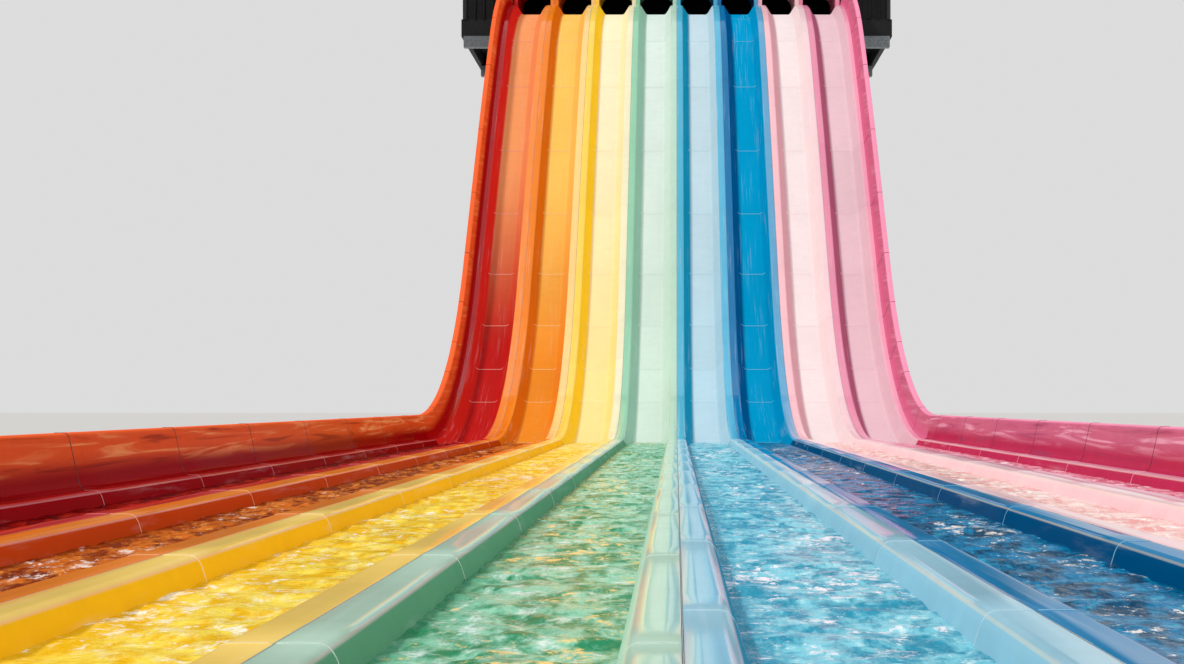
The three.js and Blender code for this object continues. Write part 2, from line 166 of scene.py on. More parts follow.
# carries a closed outline of (x, h) points along stations of (y, z, angle, s, lift)
def sweepMesh(outline, stations, shiftX=0.0):
    if areaOf(outline) < 0:
        outline = outline[::-1]
    count = len(outline)
    points, uvs = [], []
    for y, z, angle, s, lift in stations:
        sine, cosine = math.sin(angle), math.cos(angle)
        for x, h in outline:
            points.append((x + shiftX, y - (h + lift) * sine, z + (h + lift) * cosine))
            uvs.append((x, s))
    last = (len(stations) - 1) * count
    faces = ringFaces(len(stations), count)
    faces += [tuple(range(count)), tuple(reversed(range(last, last + count)))]
    return points, [f[::-1] for f in faces], uvs


def joinMeshes(meshes):
    points, faces, uvs = [], [], []
    for somePoints, someFaces, someUvs in meshes:
        faces += [tuple(i + len(points) for i in face) for face in someFaces]
        points += somePoints
        uvs += someUvs
    return points, faces, uvs


# distances of the transverse joints up the slope, read off the photograph's perspective
slopeJoints = [1.35, 3.40, 4.54, 5.81, 7.13, 8.70, 10.45, 12.43, 14.04, 15.42]
runoutJoints = {"first": 0.31, "pitch": 2.23, "rightShift": 0.61, "last": 0.4, "between": 1.4, "clear": 0.5}
# a panel ends proud of the one below
lap = {"slope": 0.0025, "runout": 0.0015, "run": 0.012, "fade": 0.4, "clear": 0.03}
spacing = {"slope": 0.26, "crest": 0.09, "crestFrom": 13.2, "foot": 0.13, "footTo": 7.0, "first": 0.12}


# stations up the slope, with a small lap at every joint
def slopeStations():
    marks = {0.0, slopeLength}
    marks.update(np.arange(spacing["first"], spacing["crestFrom"], spacing["slope"]).tolist())
    marks.update(np.arange(spacing["crestFrom"], slopeLength, spacing["crest"]).tolist())
    marks.update(np.arange(0.0, spacing["footTo"], spacing["foot"]).tolist())
    for joint in slopeJoints:
        marks = {m for m in marks if abs(m - joint) > lap["clear"] or m in (0.0, slopeLength)}
        marks.update((joint - lap["run"], joint))
    stations = []
    for s in sorted(marks):
        lift = lap["slope"] if any(abs(s - joint) < 1e-6 for joint in slopeJoints) else 0.0
        above = [s - joint for joint in slopeJoints if 0 < s - joint < lap["fade"]]
        if above:
            lift = lap["slope"] * (1 - min(above) / lap["fade"])
        stations.append((*pathAt(s), s, lift))
    return stations


def runoutJointPlaces(right):
    first = nearY + runoutJoints["first"] + (runoutJoints["rightShift"] if right else 0.0)
    return list(np.arange(first, toeY - runoutJoints["last"], runoutJoints["pitch"]))


def runoutStations(right):
    joints = runoutJointPlaces(right)
    marks = [(nearY, 0.0), (toeY - 0.0003, 0.0)]
    for joint in joints:
        marks += [(joint - lap["run"] / 2, 0.0), (joint, lap["runout"]), (joint + lap["fade"], 0.0)]
    clear = runoutJoints["clear"]
    between = np.arange(nearY + runoutJoints["between"], toeY - clear, runoutJoints["pitch"])
    marks += [(y, 0.0) for y in between if min(abs(y - j) for j in joints) > clear]
    return [(y, lane["troughFloor"], 0.0, y - toeY, lift) for y, lift in sorted(marks)]


slopeRun = slopeStations()


def stationsOf(part, right):
    return slopeRun if part == "slope" else runoutStations(right)


def wallLean(part):
    depth, floorHalf = sections[part].values()
    return (lane["capEdge"] - lane["shoulder"] - floorHalf) / (depth - lane["shoulder"])


# right half of a lane's upper surface from the seam to the middle of the floor, x from the lane's middle
def laneHalf(part):
    depth, floorHalf = sections[part].values()
    seam = lane["pitch"] / 2 - lane["seamGap"]
    edge, lean = lane["capEdge"], wallLean(part)
    wallTop = (edge - 0.4 * lane["shoulder"] - 0.012 * lean, depth - lane["shoulder"] - 0.012)
    wallFoot = (floorHalf + 0.014 + lean * 0.052, 0.052)
    half = [(seam, depth - 0.006), (seam - 0.0015, depth - 0.002), (seam - 0.006, depth)]
    half += [(seam - 0.045, depth + 0.0006)]
    half += bezier((edge + 0.034, depth), (edge + 0.002, depth + 0.002), wallTop, 7)
    half += [((wallTop[0] + wallFoot[0]) / 2, (wallTop[1] + wallFoot[1]) / 2)]
    half += bezier(wallFoot, (floorHalf + 0.012, -0.001), (floorHalf - 0.03, 0.0), 7)
    return half + [(floorHalf * 0.45, 0.0)]


def underHalf(part):
    depth, floorHalf = sections[part].values()
    seam = lane["pitch"] / 2 - lane["seamGap"]
    edge, skin = lane["capEdge"], lane["skin"]
    return [
        (seam, depth - lane["flange"]),
        (seam - skin, depth - lane["flange"]),
        (seam - skin, depth - skin * 1.8),
        (seam - skin * 1.8, depth - skin),
        (edge + lane["shoulder"], depth - skin),
        (edge + lane["shoulder"] * 0.4, depth - lane["shoulder"] - skin),
        (floorHalf + 0.028 + wallLean(part) * 0.045, 0.045),
        (floorHalf + 0.026, 0.006),
        (floorHalf, -skin),
    ]


def mirrored(half):
    return [(-x, h) for x, h in half]


def laneOutline(part):
    upper, under = laneHalf(part), underHalf(part)
    return mirrored(upper) + upper[::-1] + under + mirrored(under)[::-1]


# links or sets a node's inputs
def feed(node, values):
    for key, value in values.items():
        if isinstance(value, Value):
            node.id_data.links.new(value.socket, node.inputs[key])
        else:
            node.inputs[key].default_value = value


def addNode(tree, kind, inputs=None, **settings):
    node = tree.nodes.new(kind)
    for key, value in settings.items():
        setattr(node, key, value)
    feed(node, inputs or {})
    return node


# one output of a new node, as a value
def outOf(tree, kind, inputs, output=0, **settings):
    return Value(addNode(tree, kind, inputs, **settings).outputs[output])


# a value in a node tree: each sum, product or ramp of it adds its own node
class Value:
    def __init__(self, socket):
        self.socket = socket
        self.tree = socket.id_data

    def pair(self, operation, a, b, clamp=False):
        return outOf(self.tree, "ShaderNodeMath", {0: a, 1: b}, operation=operation, use_clamp=clamp)

    def calc(self, operation, other=0.0):
        return self.pair(operation, self, other)

    def __add__(self, other):
        return self.pair("ADD", self, other)

    def __sub__(self, other):
        return self.pair("SUBTRACT", self, other)

    def __rsub__(self, other):
        return self.pair("SUBTRACT", other, self)

    def __mul__(self, other):
        return self.pair("MULTIPLY", self, other)

    def ramp(self, low, high, toLow=0.0, toHigh=1.0):
        inputs = {"Value": self, "From Min": low, "From Max": high, "To Min": toLow, "To Max": toHigh}
        return outOf(self.tree, "ShaderNodeMapRange", inputs, interpolation_type="SMOOTHSTEP")

    def stretched(self, x, y, z=1.0):
        inputs = {0: self, 1: (x, y, z)}
        return outOf(self.tree, "ShaderNodeVectorMath", inputs, "Vector", operation="MULTIPLY")

    def noise(self, scale, detail, roughness=0.5, distortion=0.0):
        inputs = {"Vector": self, "Scale": scale, "Detail": detail}
        inputs.update({"Roughness": roughness, "Distortion": distortion})
        return outOf(self.tree, "ShaderNodeTexNoise", inputs, "Fac")

    def split(self):
        return [Value(socket) for socket in addNode(self.tree, "ShaderNodeSeparateXYZ", {0: self}).outputs]


def mixColour(tree, factor, a, b, blend="MIX"):
    return outOf(tree, "ShaderNodeMix", {0: factor, 6: a, 7: b}, 2, data_type="RGBA", blend_type=blend)


def bumped(tree, height, distance):
    return outOf(tree, "ShaderNodeBump", {"Height": height, "Distance": distance})


def linear(rgb):
    channels = [c / 255 for c in rgb]
    return tuple(c / 12.92 if c <= 0.04045 else ((c + 0.055) / 1.055) ** 2.4 for c in channels) + (1.0,)


def grey(level):
    return (level, level, level, 1.0)


def named(sockets):
    return {socket.name: Value(socket) for socket in sockets if socket.name}


# a new group; inputs without a default are vectors, all the others and the outputs are numbers
def shaderGroup(name, inputs, outputs):
    group = bpy.data.node_groups.new(name, "ShaderNodeTree")
    for label, default in inputs.items():
        kind = "NodeSocketVector" if default is None else "NodeSocketFloat"
        socket = group.interface.new_socket(name=label, in_out="INPUT", socket_type=kind)
        if default is not None:
            socket.default_value = default
    for label in outputs:
        group.interface.new_socket(name=label, in_out="OUTPUT", socket_type="NodeSocketFloat")
    return group, named(group.nodes.new("NodeGroupInput").outputs), group.nodes.new("NodeGroupOutput")


def placeGroup(tree, group, inputs):
    return named(addNode(tree, "ShaderNodeGroup", inputs, node_tree=group).outputs)


# gel coat: waviness, water streaks that run down the lane and small changes of tone
def buildGelGroup():
    group, given, put = shaderGroup(
        "gelFinish",
        {"Across": None, "Place": None, "Streaks": 0.5, "Tone": 0.08},
        ["Tone", "Streak", "Height", "Roughness"],
    )
    across, place = given["Across"], given["Place"]
    broad = place.stretched(1.0, 0.45, 0.45).noise(1.3, 3.0, 0.55)
    scuffs = place.stretched(5.0, 8.0, 8.0).noise(1.0, 5.0, 0.7)
    swing = ((broad - 0.5) + (scuffs - 0.5)) * given["Tone"]
    fine = across.stretched(34.0, 0.9).noise(1.0, 4.0, 0.6)
    patch = across.stretched(3.5, 0.5).noise(1.0, 3.0, 0.5)
    streak = fine.ramp(0.50, 0.72) * patch.ramp(0.42, 0.66)
    streak = streak.pair("MULTIPLY", streak, given["Streaks"], clamp=True)
    wave = place.stretched(1.6, 1.0, 1.0).noise(1.7, 2.0, 0.45)
    peel = place.noise(55.0, 2.0)
    rough = place.noise(6.0, 3.0).ramp(0.3, 0.8, 0.13, 0.26)
    feed(put, {
        "Tone": swing * 3.0 + 1.0,
        "Streak": streak,
        "Height": wave + peel * 0.012,
        "Roughness": rough + streak * 0.15,
    })
    return group


# masks across a lane by the distance from its middle: bed, caps and the caps' rounded edges
def buildZoneGroup():
    group, given, put = shaderGroup(
        "laneZones",
        {"Across": None, "Floor Half": 0.2},
        ["Floor", "Cap", "Left Edge", "Right Edge", "Right", "Up"],
    )
    x, y, _ = given["Across"].split()
    side = x.calc("ABSOLUTE")
    edge = side.ramp(0.320, 0.324) * side.ramp(0.327, 0.332, 1.0, 0.0)
    right = x.calc("GREATER_THAN")
    feed(put, {
        "Floor": (side - given["Floor Half"]).ramp(-0.022, 0.03, 1.0, 0.0),
        "Cap": side.ramp(0.318, 0.334),
        "Left Edge": edge * (1.0 - right),
        "Right Edge": edge * right,
        "Right": right,
        "Up": y,
    })
    return group


# sheet steel: zinc spangle or paint grain, dust and rain marks
def buildSteelGroup():
    group, given, put = shaderGroup(
        "steelFinish", {"Place": None, "Grain Scale": 40.0}, ["Grain", "Wear", "Height"]
    )
    place = given["Place"]
    cells = outOf(group, "ShaderNodeTexVoronoi", {"Vector": place, "Scale": given["Grain Scale"]}, "Color")
    feed(put, {
        "Grain": outOf(group, "ShaderNodeSeparateColor", {0: cells}),
        "Wear": place.stretched(6.0, 6.0, 0.5).noise(1.0, 4.0, 0.6).ramp(0.48, 0.75),
        "Height": place.noise(90.0, 2.0),
    })
    return group


gelGroup = buildGelGroup()
zoneGroup = buildZoneGroup()
steelGroup = buildSteelGroup()


def newMaterial(name):
    material = bpy.data.materials.new(name)
    material.use_nodes = True
    return material, material.node_tree, material.node_tree.nodes["Principled BSDF"]


def objectPlace(tree):
    return outOf(tree, "ShaderNodeTexCoord", None, "Object")


def laneUv(tree):
    return outOf(tree, "ShaderNodeUVMap", None, "UV", uv_map="across")


# colours of each lane: bed high up, paler with painted sunlight; bed low down, darker with painted shade;
# caps; left wall in painted shade; wall in the runout in painted shade
laneColours = {
    "red": [(240, 158, 100), (184, 30, 28), (200, 24, 24), (214, 38, 30), (150, 6, 14)],
    "orange": [(252, 198, 96), (230, 136, 38), (240, 128, 20), (222, 112, 18), (196, 66, 8)],
    "yellow": [(254, 236, 200), (253, 224, 150), (255, 212, 84), (255, 206, 40), (255, 194, 20)],
    "green": [(218, 232, 224), (208, 227, 212), (146, 204, 170), (152, 196, 172), (98, 160, 122)],
    "sky": [(196, 218, 226), (184, 214, 226), (78, 176, 206), (14, 146, 182), (60, 146, 176)],
    "blue": [(0, 154, 204), (0, 146, 194), (0, 112, 168), (0, 92, 146), (0, 76, 122)],
    "blush": [(240, 226, 226), (240, 222, 222), (244, 188, 196), (222, 166, 174), (240, 176, 182)],
    "pink": [(232, 200, 208), (231, 194, 203), (228, 140, 168), (180, 98, 126), (190, 48, 88)],
}
# how far walls and caps take the bed's colour; for the slope's right walls and right caps and the runout's
# right walls this is painted sunlight
bedShare = {"rightWall": 0.8, "rightCap": 0.5, "runoutCap": 0.3, "runoutWall": 0.5}
# painted sheen: the runout's share of the bed's colour for lanes whose caps are painted paler there as a
# reflection
sheenPaleCaps = {"green": 0.6, "sky": 0.6, "blush": 0.5}
# distances up the slope between which a bed turns from painted shade low down to painted sunlight high up;
# for red and orange this is the edge of a painted cast shadow
bedLightTurns = {"red": (5.0, 10.8), "orange": (4.0, 10.5)}
defaultLightTurn = (3.0, 12.5)
# painted sunlight: a cap's right half on the slope, painted paler and tinted towards the neighbouring lane's
# light
litRightCaps = {
    "red": (244, 140, 60),
    "orange": (252, 210, 132),
    "yellow": (240, 234, 196),
    "sky": (88, 178, 214),
    "blue": (96, 162, 202),
    "pink": (246, 170, 194),
}
# painted shade: in the runout these lanes' right walls are painted as dark as their left walls
shadedRightWalls = ("blue", "pink")  # lanes whose right wall in the runout is as deep as the left one
# painted highlights along the rounded edges of the runout's caps
capEdgeHighlights = {"Left Edge": (255, 200, 204), "Right Edge": (252, 232, 186)}
laneFinish = {
    "streaks": 0.5,
    "tone": 0.05,
    "panels": 0.025,
    "waviness": 0.010,
    "coat": 0.03,
    "capCoat": 0.7,
    "coatRoughness": 0.1,
    "capEdgeHighlights": 0.28,
    "wetStreaks": 0.5,
    "wetWhite": 0.6,
    "specular": 0.0,
}


# the colour times the finish's tone and the tone of its own panel
def toned(tree, colour, tone):
    panel = outOf(tree, "ShaderNodeAttribute", None, "Fac", attribute_name="panel")
    whole = tone + panel * laneFinish["panels"]
    tones = outOf(tree, "ShaderNodeCombineColor", {channel: whole for channel in range(3)})
    return mixColour(tree, 1.0, colour, tones, "MULTIPLY")


# a slightly different tone for every panel between two joints
def tonePanels(piece, joints, seed):
    mesh = piece.data
    places = np.zeros(len(mesh.loops) * 2, dtype=np.float32)
    mesh.uv_layers["across"].data.foreach_get("uv", places)
    starts = np.array([face.loop_start for face in mesh.polygons])
    counts = np.array([face.loop_total for face in mesh.polygons])
    middles = np.add.reduceat(places[1::2], starts) / counts
    tones = np.random.default_rng(seed).uniform(-1.0, 1.0, len(joints) + 1)
    attribute = mesh.attributes.new("panel", "FLOAT", "FACE")
    attribute.data.foreach_set("value", tones[np.searchsorted(joints, middles)].astype(np.float32))


def gelFinish(tree, streaks, tone):
    inputs = {"Across": laneUv(tree), "Place": objectPlace(tree), "Streaks": streaks, "Tone": tone}
    return placeGroup(tree, gelGroup, inputs)


# gloss comes from the coat alone
def coatShader(tree, shader, colour, finish, coat, coatRoughness):
    feed(shader, {
        "Base Color": colour,
        "Roughness": finish["Roughness"],
        "Normal": bumped(tree, finish["Height"], laneFinish["waviness"]),
        "Coat Weight": coat,
        "Coat Roughness": coatRoughness,
        "Specular IOR Level": laneFinish["specular"],
    })


def laneMaterial(name, part):
    high, low, cap, shadedLeftWall, shadedRunoutWall = [linear(c) for c in laneColours[name]]
    material, tree, shader = newMaterial(f"gelCoat_{name}_{part}")
    zones = placeGroup(tree, zoneGroup, {"Across": laneUv(tree), "Floor Half": sections[part]["floorHalf"]})
    finish = gelFinish(tree, laneFinish["streaks"], laneFinish["tone"])
    mix = lambda *given: mixColour(tree, *given)
    right = zones["Right"]
    if part == "runout":
        # painted shade on the runout's left walls and on some lanes' right walls; the other right walls take
        # some of the bed's colour as painted sunlight
        bed = low
        wall = mix(right, shadedRunoutWall, shadedRunoutWall if name in shadedRightWalls else mix(bedShare["runoutWall"], cap, bed))
        top = mix(sheenPaleCaps.get(name, bedShare["runoutCap"]), cap, bed)
    else:
        # on the slope the bed turns from painted shade low down to painted sunlight high up; right walls and
        # right caps are painted sunlit, left walls in painted shade
        bed = mix(zones["Up"].ramp(*bedLightTurns.get(name, defaultLightTurn)), low, high)
        wall = mix(right * bedShare["rightWall"], shadedLeftWall, bed)
        lit = linear(litRightCaps[name]) if name in litRightCaps else mix(bedShare["rightCap"], cap, bed)
        top = mix(right, cap, lit)
    colour = mix(zones["Cap"], mix(zones["Floor"], wall, bed), top)
    if part == "runout":
        # painted highlights along the caps' rounded edges
        for edge, tint in capEdgeHighlights.items():
            colour = mix(zones[edge] * laneFinish["capEdgeHighlights"], colour, linear(tint))
    colour = toned(tree, colour, finish["Tone"])
    pale = mix(laneFinish["wetWhite"], colour, (0.9, 0.92, 0.94, 1.0))
    colour = mix(finish["Streak"] * laneFinish["wetStreaks"], colour, pale)
    coat = zones["Cap"] * (laneFinish["capCoat"] - laneFinish["coat"]) + laneFinish["coat"]
    coatShader(tree, shader, colour, finish, coat, laneFinish["coatRoughness"])
    return material


def finishPiece(piece, slot, *replaced):
    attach(piece, "root")
    if replaced:
        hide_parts(*replaced)


def dress(piece, material, slot, *replaced):
    piece.data.materials.clear()
    piece.data.materials.append(material)
    finishPiece(piece, slot, *replaced)


# start tunnels behind the crest
tunnel = {"half": 0.365, "wall": 0.56, "height": 0.85, "top": 0.95, "length": 1.45}
collar = {"width": 0.024, "roll": 0.004, "step": 0.001, "fade": 0.02}
archSteps = 20


# plate that closes a trough under the toe of the slope
def riserOutline():
    reach = sections["runout"]["floorHalf"] + 0.04
    foot, head = lane["troughFloor"] - lane["skin"] / 2, lane["toeFloor"] - lane["skin"] - 0.0003
    return [(-reach, foot), (reach, foot), (reach, head), (-reach, head)]


# half-ellipse arch on straight sides, from the right foot over the top to the left foot and along the floor
def archPoints(half, top, foot):
    wall = tunnel["wall"]
    points = [(half, foot), (half, wall * 0.5)]
    for i in range(archSteps + 1):
        turn = math.pi * i / archSteps
        points.append((half * math.cos(turn), wall + (top - wall) * math.sin(turn)))
    return points + [(-half, wall * 0.5), (-half, foot), (0.0, foot)]


# a ring between an inner and an outer arch, carried along y, with a rounded roll at both collars
def tunnelPiece(name, x):
    skin, y0, y1 = lane["skin"], startY, startY + tunnel["length"]
    inner = archPoints(tunnel["half"], tunnel["height"], 0.0)
    plain = archPoints(tunnel["half"] + skin, tunnel["height"] + skin, -skin)
    outer = archPoints(lane["pitch"] / 2 - lane["seamGap"], tunnel["top"], -skin)
    blend = lambda t: [(a[0] + (b[0] - a[0]) * t, a[1] + (b[1] - a[1]) * t) for a, b in zip(plain, outer)]
    width, roll = collar["width"], collar["roll"]
    back = width + collar["step"]
    end = [(roll, inner), (0.0, blend(0.15)), (0.0, blend(0.96)), (roll, outer), (width, outer)]
    end += [(back, blend(0.95)), (back, blend(0.08)), (width + collar["fade"], plain)]
    middle = (y0 + y1) / 2
    rings = [(y0 + step, arch) for step, arch in end] + [(middle, plain)]
    rings += [(y1 - step, arch) for step, arch in end[::-1]] + [(middle, inner)]
    points = [(x + px, y, startFloor + h) for y, arch in rings for px, h in arch]
    uvs = [(px, slopeLength + y - startY) for y, arch in rings for px, h in arch]
    total = len(points)
    faces = [[i % total for i in face[::-1]] for face in ringFaces(len(rings) + 1, len(inner))]
    return addMesh(name, points, faces, uvs)


def lanePieces(i, name):
    onSlope, onRunout = laneMaterial(name, "slope"), laneMaterial(name, "runout")
    right, slot = i >= halfLanes, f"lane_{name}"
    piece = addMesh(f"slopeLane_{name}", *sweepMesh(laneOutline("slope"), slopeRun, laneX(i)))
    tonePanels(piece, slopeJoints, i)
    dress(piece, onSlope, slot, f"foot_{name}", f"chute_{name}")
    riserRun = [(y, 0.0, 0.0, y - toeY, 0.0) for y in (toeY - lane["skin"], toeY - 0.0003)]
    piece = addMesh(f"runoutTrough_{name}", *joinMeshes([
        sweepMesh(laneOutline("runout"), runoutStations(right), laneX(i)),
        sweepMesh(riserOutline(), riserRun, laneX(i)),
    ]))
    tonePanels(piece, [y - toeY for y in runoutJointPlaces(right)], i + len(laneNames))
    dress(piece, onRunout, slot, f"runout_{name}")
    dress(tunnelPiece(f"startTunnel_{name}", laneX(i)), onSlope, slot, f"tunnel_{name}")


for i, name in enumerate(laneNames):
    lanePieces(i, name)
print("lanes done")

# guard walls at both sides
guard = {
    "rise": 0.345,
    "lean": 0.062,
    "lip": 0.092,
    "lipDepth": 0.075,
    "footWidth": 0.036,
    "footHeight": 0.07,
    "streaks": 0.25,
    "tone": 0.06,
    "coat": 0.08,
    "coatRoughness": 0.12,
    "riseReach": (3.604, 3.638),  # distances from the middle between which the foot turns into the wall
    "lipReach": (3.658, 3.675),
}
guardSlots = {"left": "guard_red", "right": "guard_pink"}
# upper wall with a painted reflection, foot beside the slope and foot beside the runout darker with painted
# shade, patches of painted reflection and of painted shade, lip with a painted highlight
guardColours = {
    "left": [(228, 88, 36), (168, 10, 12), (150, 2, 8), (252, 170, 106), (120, 10, 8), (250, 104, 54)],
    "right": [
        (206, 104, 134), (218, 104, 142), (188, 44, 84),
        (240, 176, 196), (150, 60, 98), (246, 150, 182),
    ],
}
# shares of the painted reflection patches and of the painted shade patches on the guard walls
reflectionAndShadeShares = {"slope": (0.3, 0.2), "runout": (0.9, 0.6)}  # of the bright and the dark flames


def guardOutline(side, part):
    face, skin, depth = outerFace + 0.0003, lane["skin"], sections[part]["depth"]
    top, head, foot = depth + guard["rise"], face + guard["lean"], face - guard["footWidth"]
    lip, under, cove = head + guard["lip"], top - guard["lipDepth"], depth + guard["footHeight"]
    low = depth - lane["flange"]
    outline = [(face, low), (face, depth + 0.0006), (foot, depth + 0.0006), (foot, depth + 0.004)]
    coveTop = (face + 0.005, cove + 0.01)
    outline += bezier((foot + 0.004, depth + 0.008), (face - 0.002, depth + 0.014), coveTop, 8)
    outline += bezier((head - 0.010, top - 0.05), (head - 0.003, top + 0.001), (head + 0.034, top), 8)
    outline += [(lip - 0.012, top), (lip - 0.004, top - 0.003), (lip, top - 0.011)]
    outline += [(lip, under), (lip - skin, under), (lip - skin, top - skin * 1.4)]
    outline += [(lip - skin * 1.6, top - skin), (head + 0.036, top - skin), (head + 0.014, top - 0.024)]
    outline += [(head + 0.004, top - 0.052), (face + skin * 1.4, cove)]
    outline += [(face + skin, depth), (face + skin, low)]
    return [(side * x, h) for x, h in outline]


def guardMaterial(end, part):
    high, slopeFoot, runoutFoot, paintedHighlight, dark, lip = [linear(c) for c in guardColours[end]]
    reflectionShare, shadeShare = reflectionAndShadeShares[part]
    material, tree, shader = newMaterial(f"guardGelCoat_{end}_{part}")
    finish = gelFinish(tree, guard["streaks"], guard["tone"])
    reach = laneUv(tree).split()[0].calc("ABSOLUTE")
    rise = reach.ramp(*guard["riseReach"])
    # patches of painted reflection and of painted shade, drawn from one noise
    lightPatchNoise = objectPlace(tree).stretched(1.0, 0.34, 9.0).noise(1.3, 4.0, 0.55, 0.9)
    # the foot is darker with painted shade; the upper wall carries a painted reflection
    colour = mixColour(tree, rise, slopeFoot if part == "slope" else runoutFoot, high)
    colour = mixColour(tree, lightPatchNoise.ramp(0.50, 0.68) * (rise * reflectionShare), colour, paintedHighlight)
    colour = mixColour(tree, lightPatchNoise.ramp(0.44, 0.30) * shadeShare, colour, dark)
    # the lip is painted lighter as a highlight
    colour = mixColour(tree, reach.ramp(*guard["lipReach"]), colour, lip)
    colour = toned(tree, colour, finish["Tone"])
    coatShader(tree, shader, colour, finish, guard["coat"], guard["coatRoughness"])
    return material


for side, end in ends:
    for part in sections:
        outline, stations = guardOutline(side, part), stationsOf(part, side > 0)
        wall = addMesh(f"{part}Guard_{end}", *sweepMesh(outline, stations))
        dress(wall, guardMaterial(end, part), guardSlots[end], f"guard_{part}_{end}")
print("guard walls done")

# still water in the troughs, rippled, each lane tinting its own
water = {
    "level": 0.532,
    "cell": 0.028,
    "columns": 24,
    "inset": 0.018,  # how far the surface passes the bed's edge, into the wall
    "shallow": 0.05,
    "tipHalf": 0.16,
    "nearGap": 0.01,
    "shoreLap": 0.03,
    "ripple": 0.0048,
    "fine": 0.012,
    "calmReach": 4.2,
    "seed": 7,
}
waves = {"short": 0.085, "long": 0.55, "count": 26}
# the streaks are painted reflections of the sky, and the glints painted highlights
waterColours = {  # deep, middle, streaks, glints, share of glints
    "red": [(90, 0, 4), (176, 16, 10), (216, 58, 18), (240, 130, 50), 0.28],
    "orange": [(120, 40, 2), (214, 108, 18), (240, 168, 84), (246, 222, 208), 0.5],
    "yellow": [(240, 186, 10), (255, 226, 84), (253, 242, 178), (255, 250, 226), 0.75],
    "green": [(46, 142, 98), (150, 214, 182), (228, 244, 236), (255, 222, 140), 0.62],
    "sky": [(40, 148, 178), (132, 212, 228), (200, 240, 245), (248, 243, 248), 0.62],
    "blue": [(0, 64, 98), (0, 122, 172), (44, 164, 198), (244, 238, 232), 0.52],
    "blush": [(236, 164, 160), (252, 220, 212), (253, 236, 230), (255, 251, 246), 0.7],
    "pink": [(214, 80, 118), (244, 166, 184), (251, 208, 217), (255, 235, 238), 0.6],
}


def wallAt(part, h):
    return sections[part]["floorHalf"] + water["inset"] + wallLean(part) * h


# half the water's width at y: it narrows where it runs out on the foot of the slope
def waterHalf(y):
    if y < toeY:
        return wallAt("runout", water["level"] - lane["troughFloor"])
    floor = lane["toeFloor"] + footRadius * (1 - math.cos(math.asin((y - toeY) / footRadius)))
    h, shallow, tip = max(water["level"] - floor, 0.0), water["shallow"], water["tipHalf"]
    wall = wallAt("slope", max(h, shallow))
    return wall if h > shallow else tip + (wall - tip) * h / shallow


def waterPiece(name, index):
    random = np.random.default_rng(water["seed"] + index)
    drop = 1 - (water["level"] - lane["toeFloor"]) / footRadius
    start, shore = nearY + water["nearGap"], toeY + footRadius * math.sin(math.acos(drop)) + water["shoreLap"]
    rows, wide = int((shore - start) / water["cell"]), water["columns"] + 1
    ys, spread = np.linspace(start, shore, rows + 1), np.linspace(-1, 1, wide)[None, :]
    xs = spread * np.array([waterHalf(y) for y in ys])[:, None] + laneX(index)
    grid = np.repeat(ys[:, None], wide, axis=1)
    height = np.zeros_like(grid)
    for _ in range(waves["count"]):
        length = waves["short"] * (waves["long"] / waves["short"]) ** random.random()
        heading = random.normal(math.pi / 2, 0.75)
        phase = random.random() * math.tau
        wave = (xs * math.cos(heading) + grid * math.sin(heading)) * math.tau / length + phase
        drift = 0.6 + 0.4 * np.sin(grid * random.uniform(0.4, 1.3) + xs * 2 + phase)
        height += length**0.75 * drift * np.sin(wave)
    height *= water["ripple"] / np.sqrt(np.mean(height**2))
    calm = np.clip((toeY - grid) / water["calmReach"], 0.12, 1.0)
    edge = 1 - 0.55 * np.abs(spread) ** 6
    points = np.stack([xs, grid, water["level"] + height * calm * edge], axis=-1).reshape(-1, 3)
    uvs = np.stack([xs - laneX(index), grid - toeY], axis=-1).reshape(-1, 2)
    corners = [r * wide + c for r in range(rows) for c in range(water["columns"])]
    faces = [(a, a + 1, a + wide + 1, a + wide) for a in corners]
    return addMesh(name, points.tolist(), faces, uvs, sharpAbove=180.0)


# patches, pale streaks of painted sky reflection, painted glints and fine ripples of a water surface
def buildWaterGroup():
    group, given, put = shaderGroup(
        "shallowWater", {"Place": None, "Glints": 0.5}, ["Body", "Streak", "Glint", "Height"]
    )
    place = given["Place"]
    body = place.stretched(9.5, 4.6).noise(1.0, 5.0, 0.66, 0.3)
    streak = place.stretched(15.0, 9.5, 3.0).noise(1.0, 5.0, 0.7, 0.3)
    glint = place.stretched(13.0, 10.0).noise(1.0, 5.0, 0.74, 0.25)
    gathered = (place.stretched(2.4, 0.9).noise(1.0, 3.0) - 0.5) * 0.4
    paintedHighlight = glint + gathered - (0.70 - given["Glints"] * 0.16)
    feed(put, {
        "Body": body.ramp(0.38, 0.60),
        "Streak": streak.ramp(0.50, 0.68),
        "Glint": paintedHighlight.ramp(-0.03, 0.07),
        "Height": place.stretched(1.0, 0.7).noise(17.0, 4.0, 0.62, 0.3),
    })
    return group


waterGroup = buildWaterGroup()


def waterMaterial(name):
    *tints, share = waterColours[name]
    deep, middle, streak, glint = [linear(tint) for tint in tints]
    material, tree, shader = newMaterial(f"water_{name}")
    parts = placeGroup(tree, waterGroup, {"Place": objectPlace(tree), "Glints": share})
    x, y, _ = laneUv(tree).split()
    # painted shade: near the left wall the water is painted darker, as the shaded wall's reflection
    body = parts["Body"] * x.ramp(-0.29, -0.17, 0.2, 1.0)
    colour = mixColour(tree, body, deep, middle)
    # painted sky reflection in pale streaks, then painted glints
    colour = mixColour(tree, parts["Streak"] * body, colour, streak)
    feed(shader, {
        "Base Color": mixColour(tree, parts["Glint"], colour, glint),
        "Normal": bumped(tree, parts["Height"], water["fine"]),
        "Roughness": y.ramp(-11.0, -1.0, 0.05, 0.3),
        "IOR": 1.33,
        "Specular IOR Level": 0.02,
    })
    return material


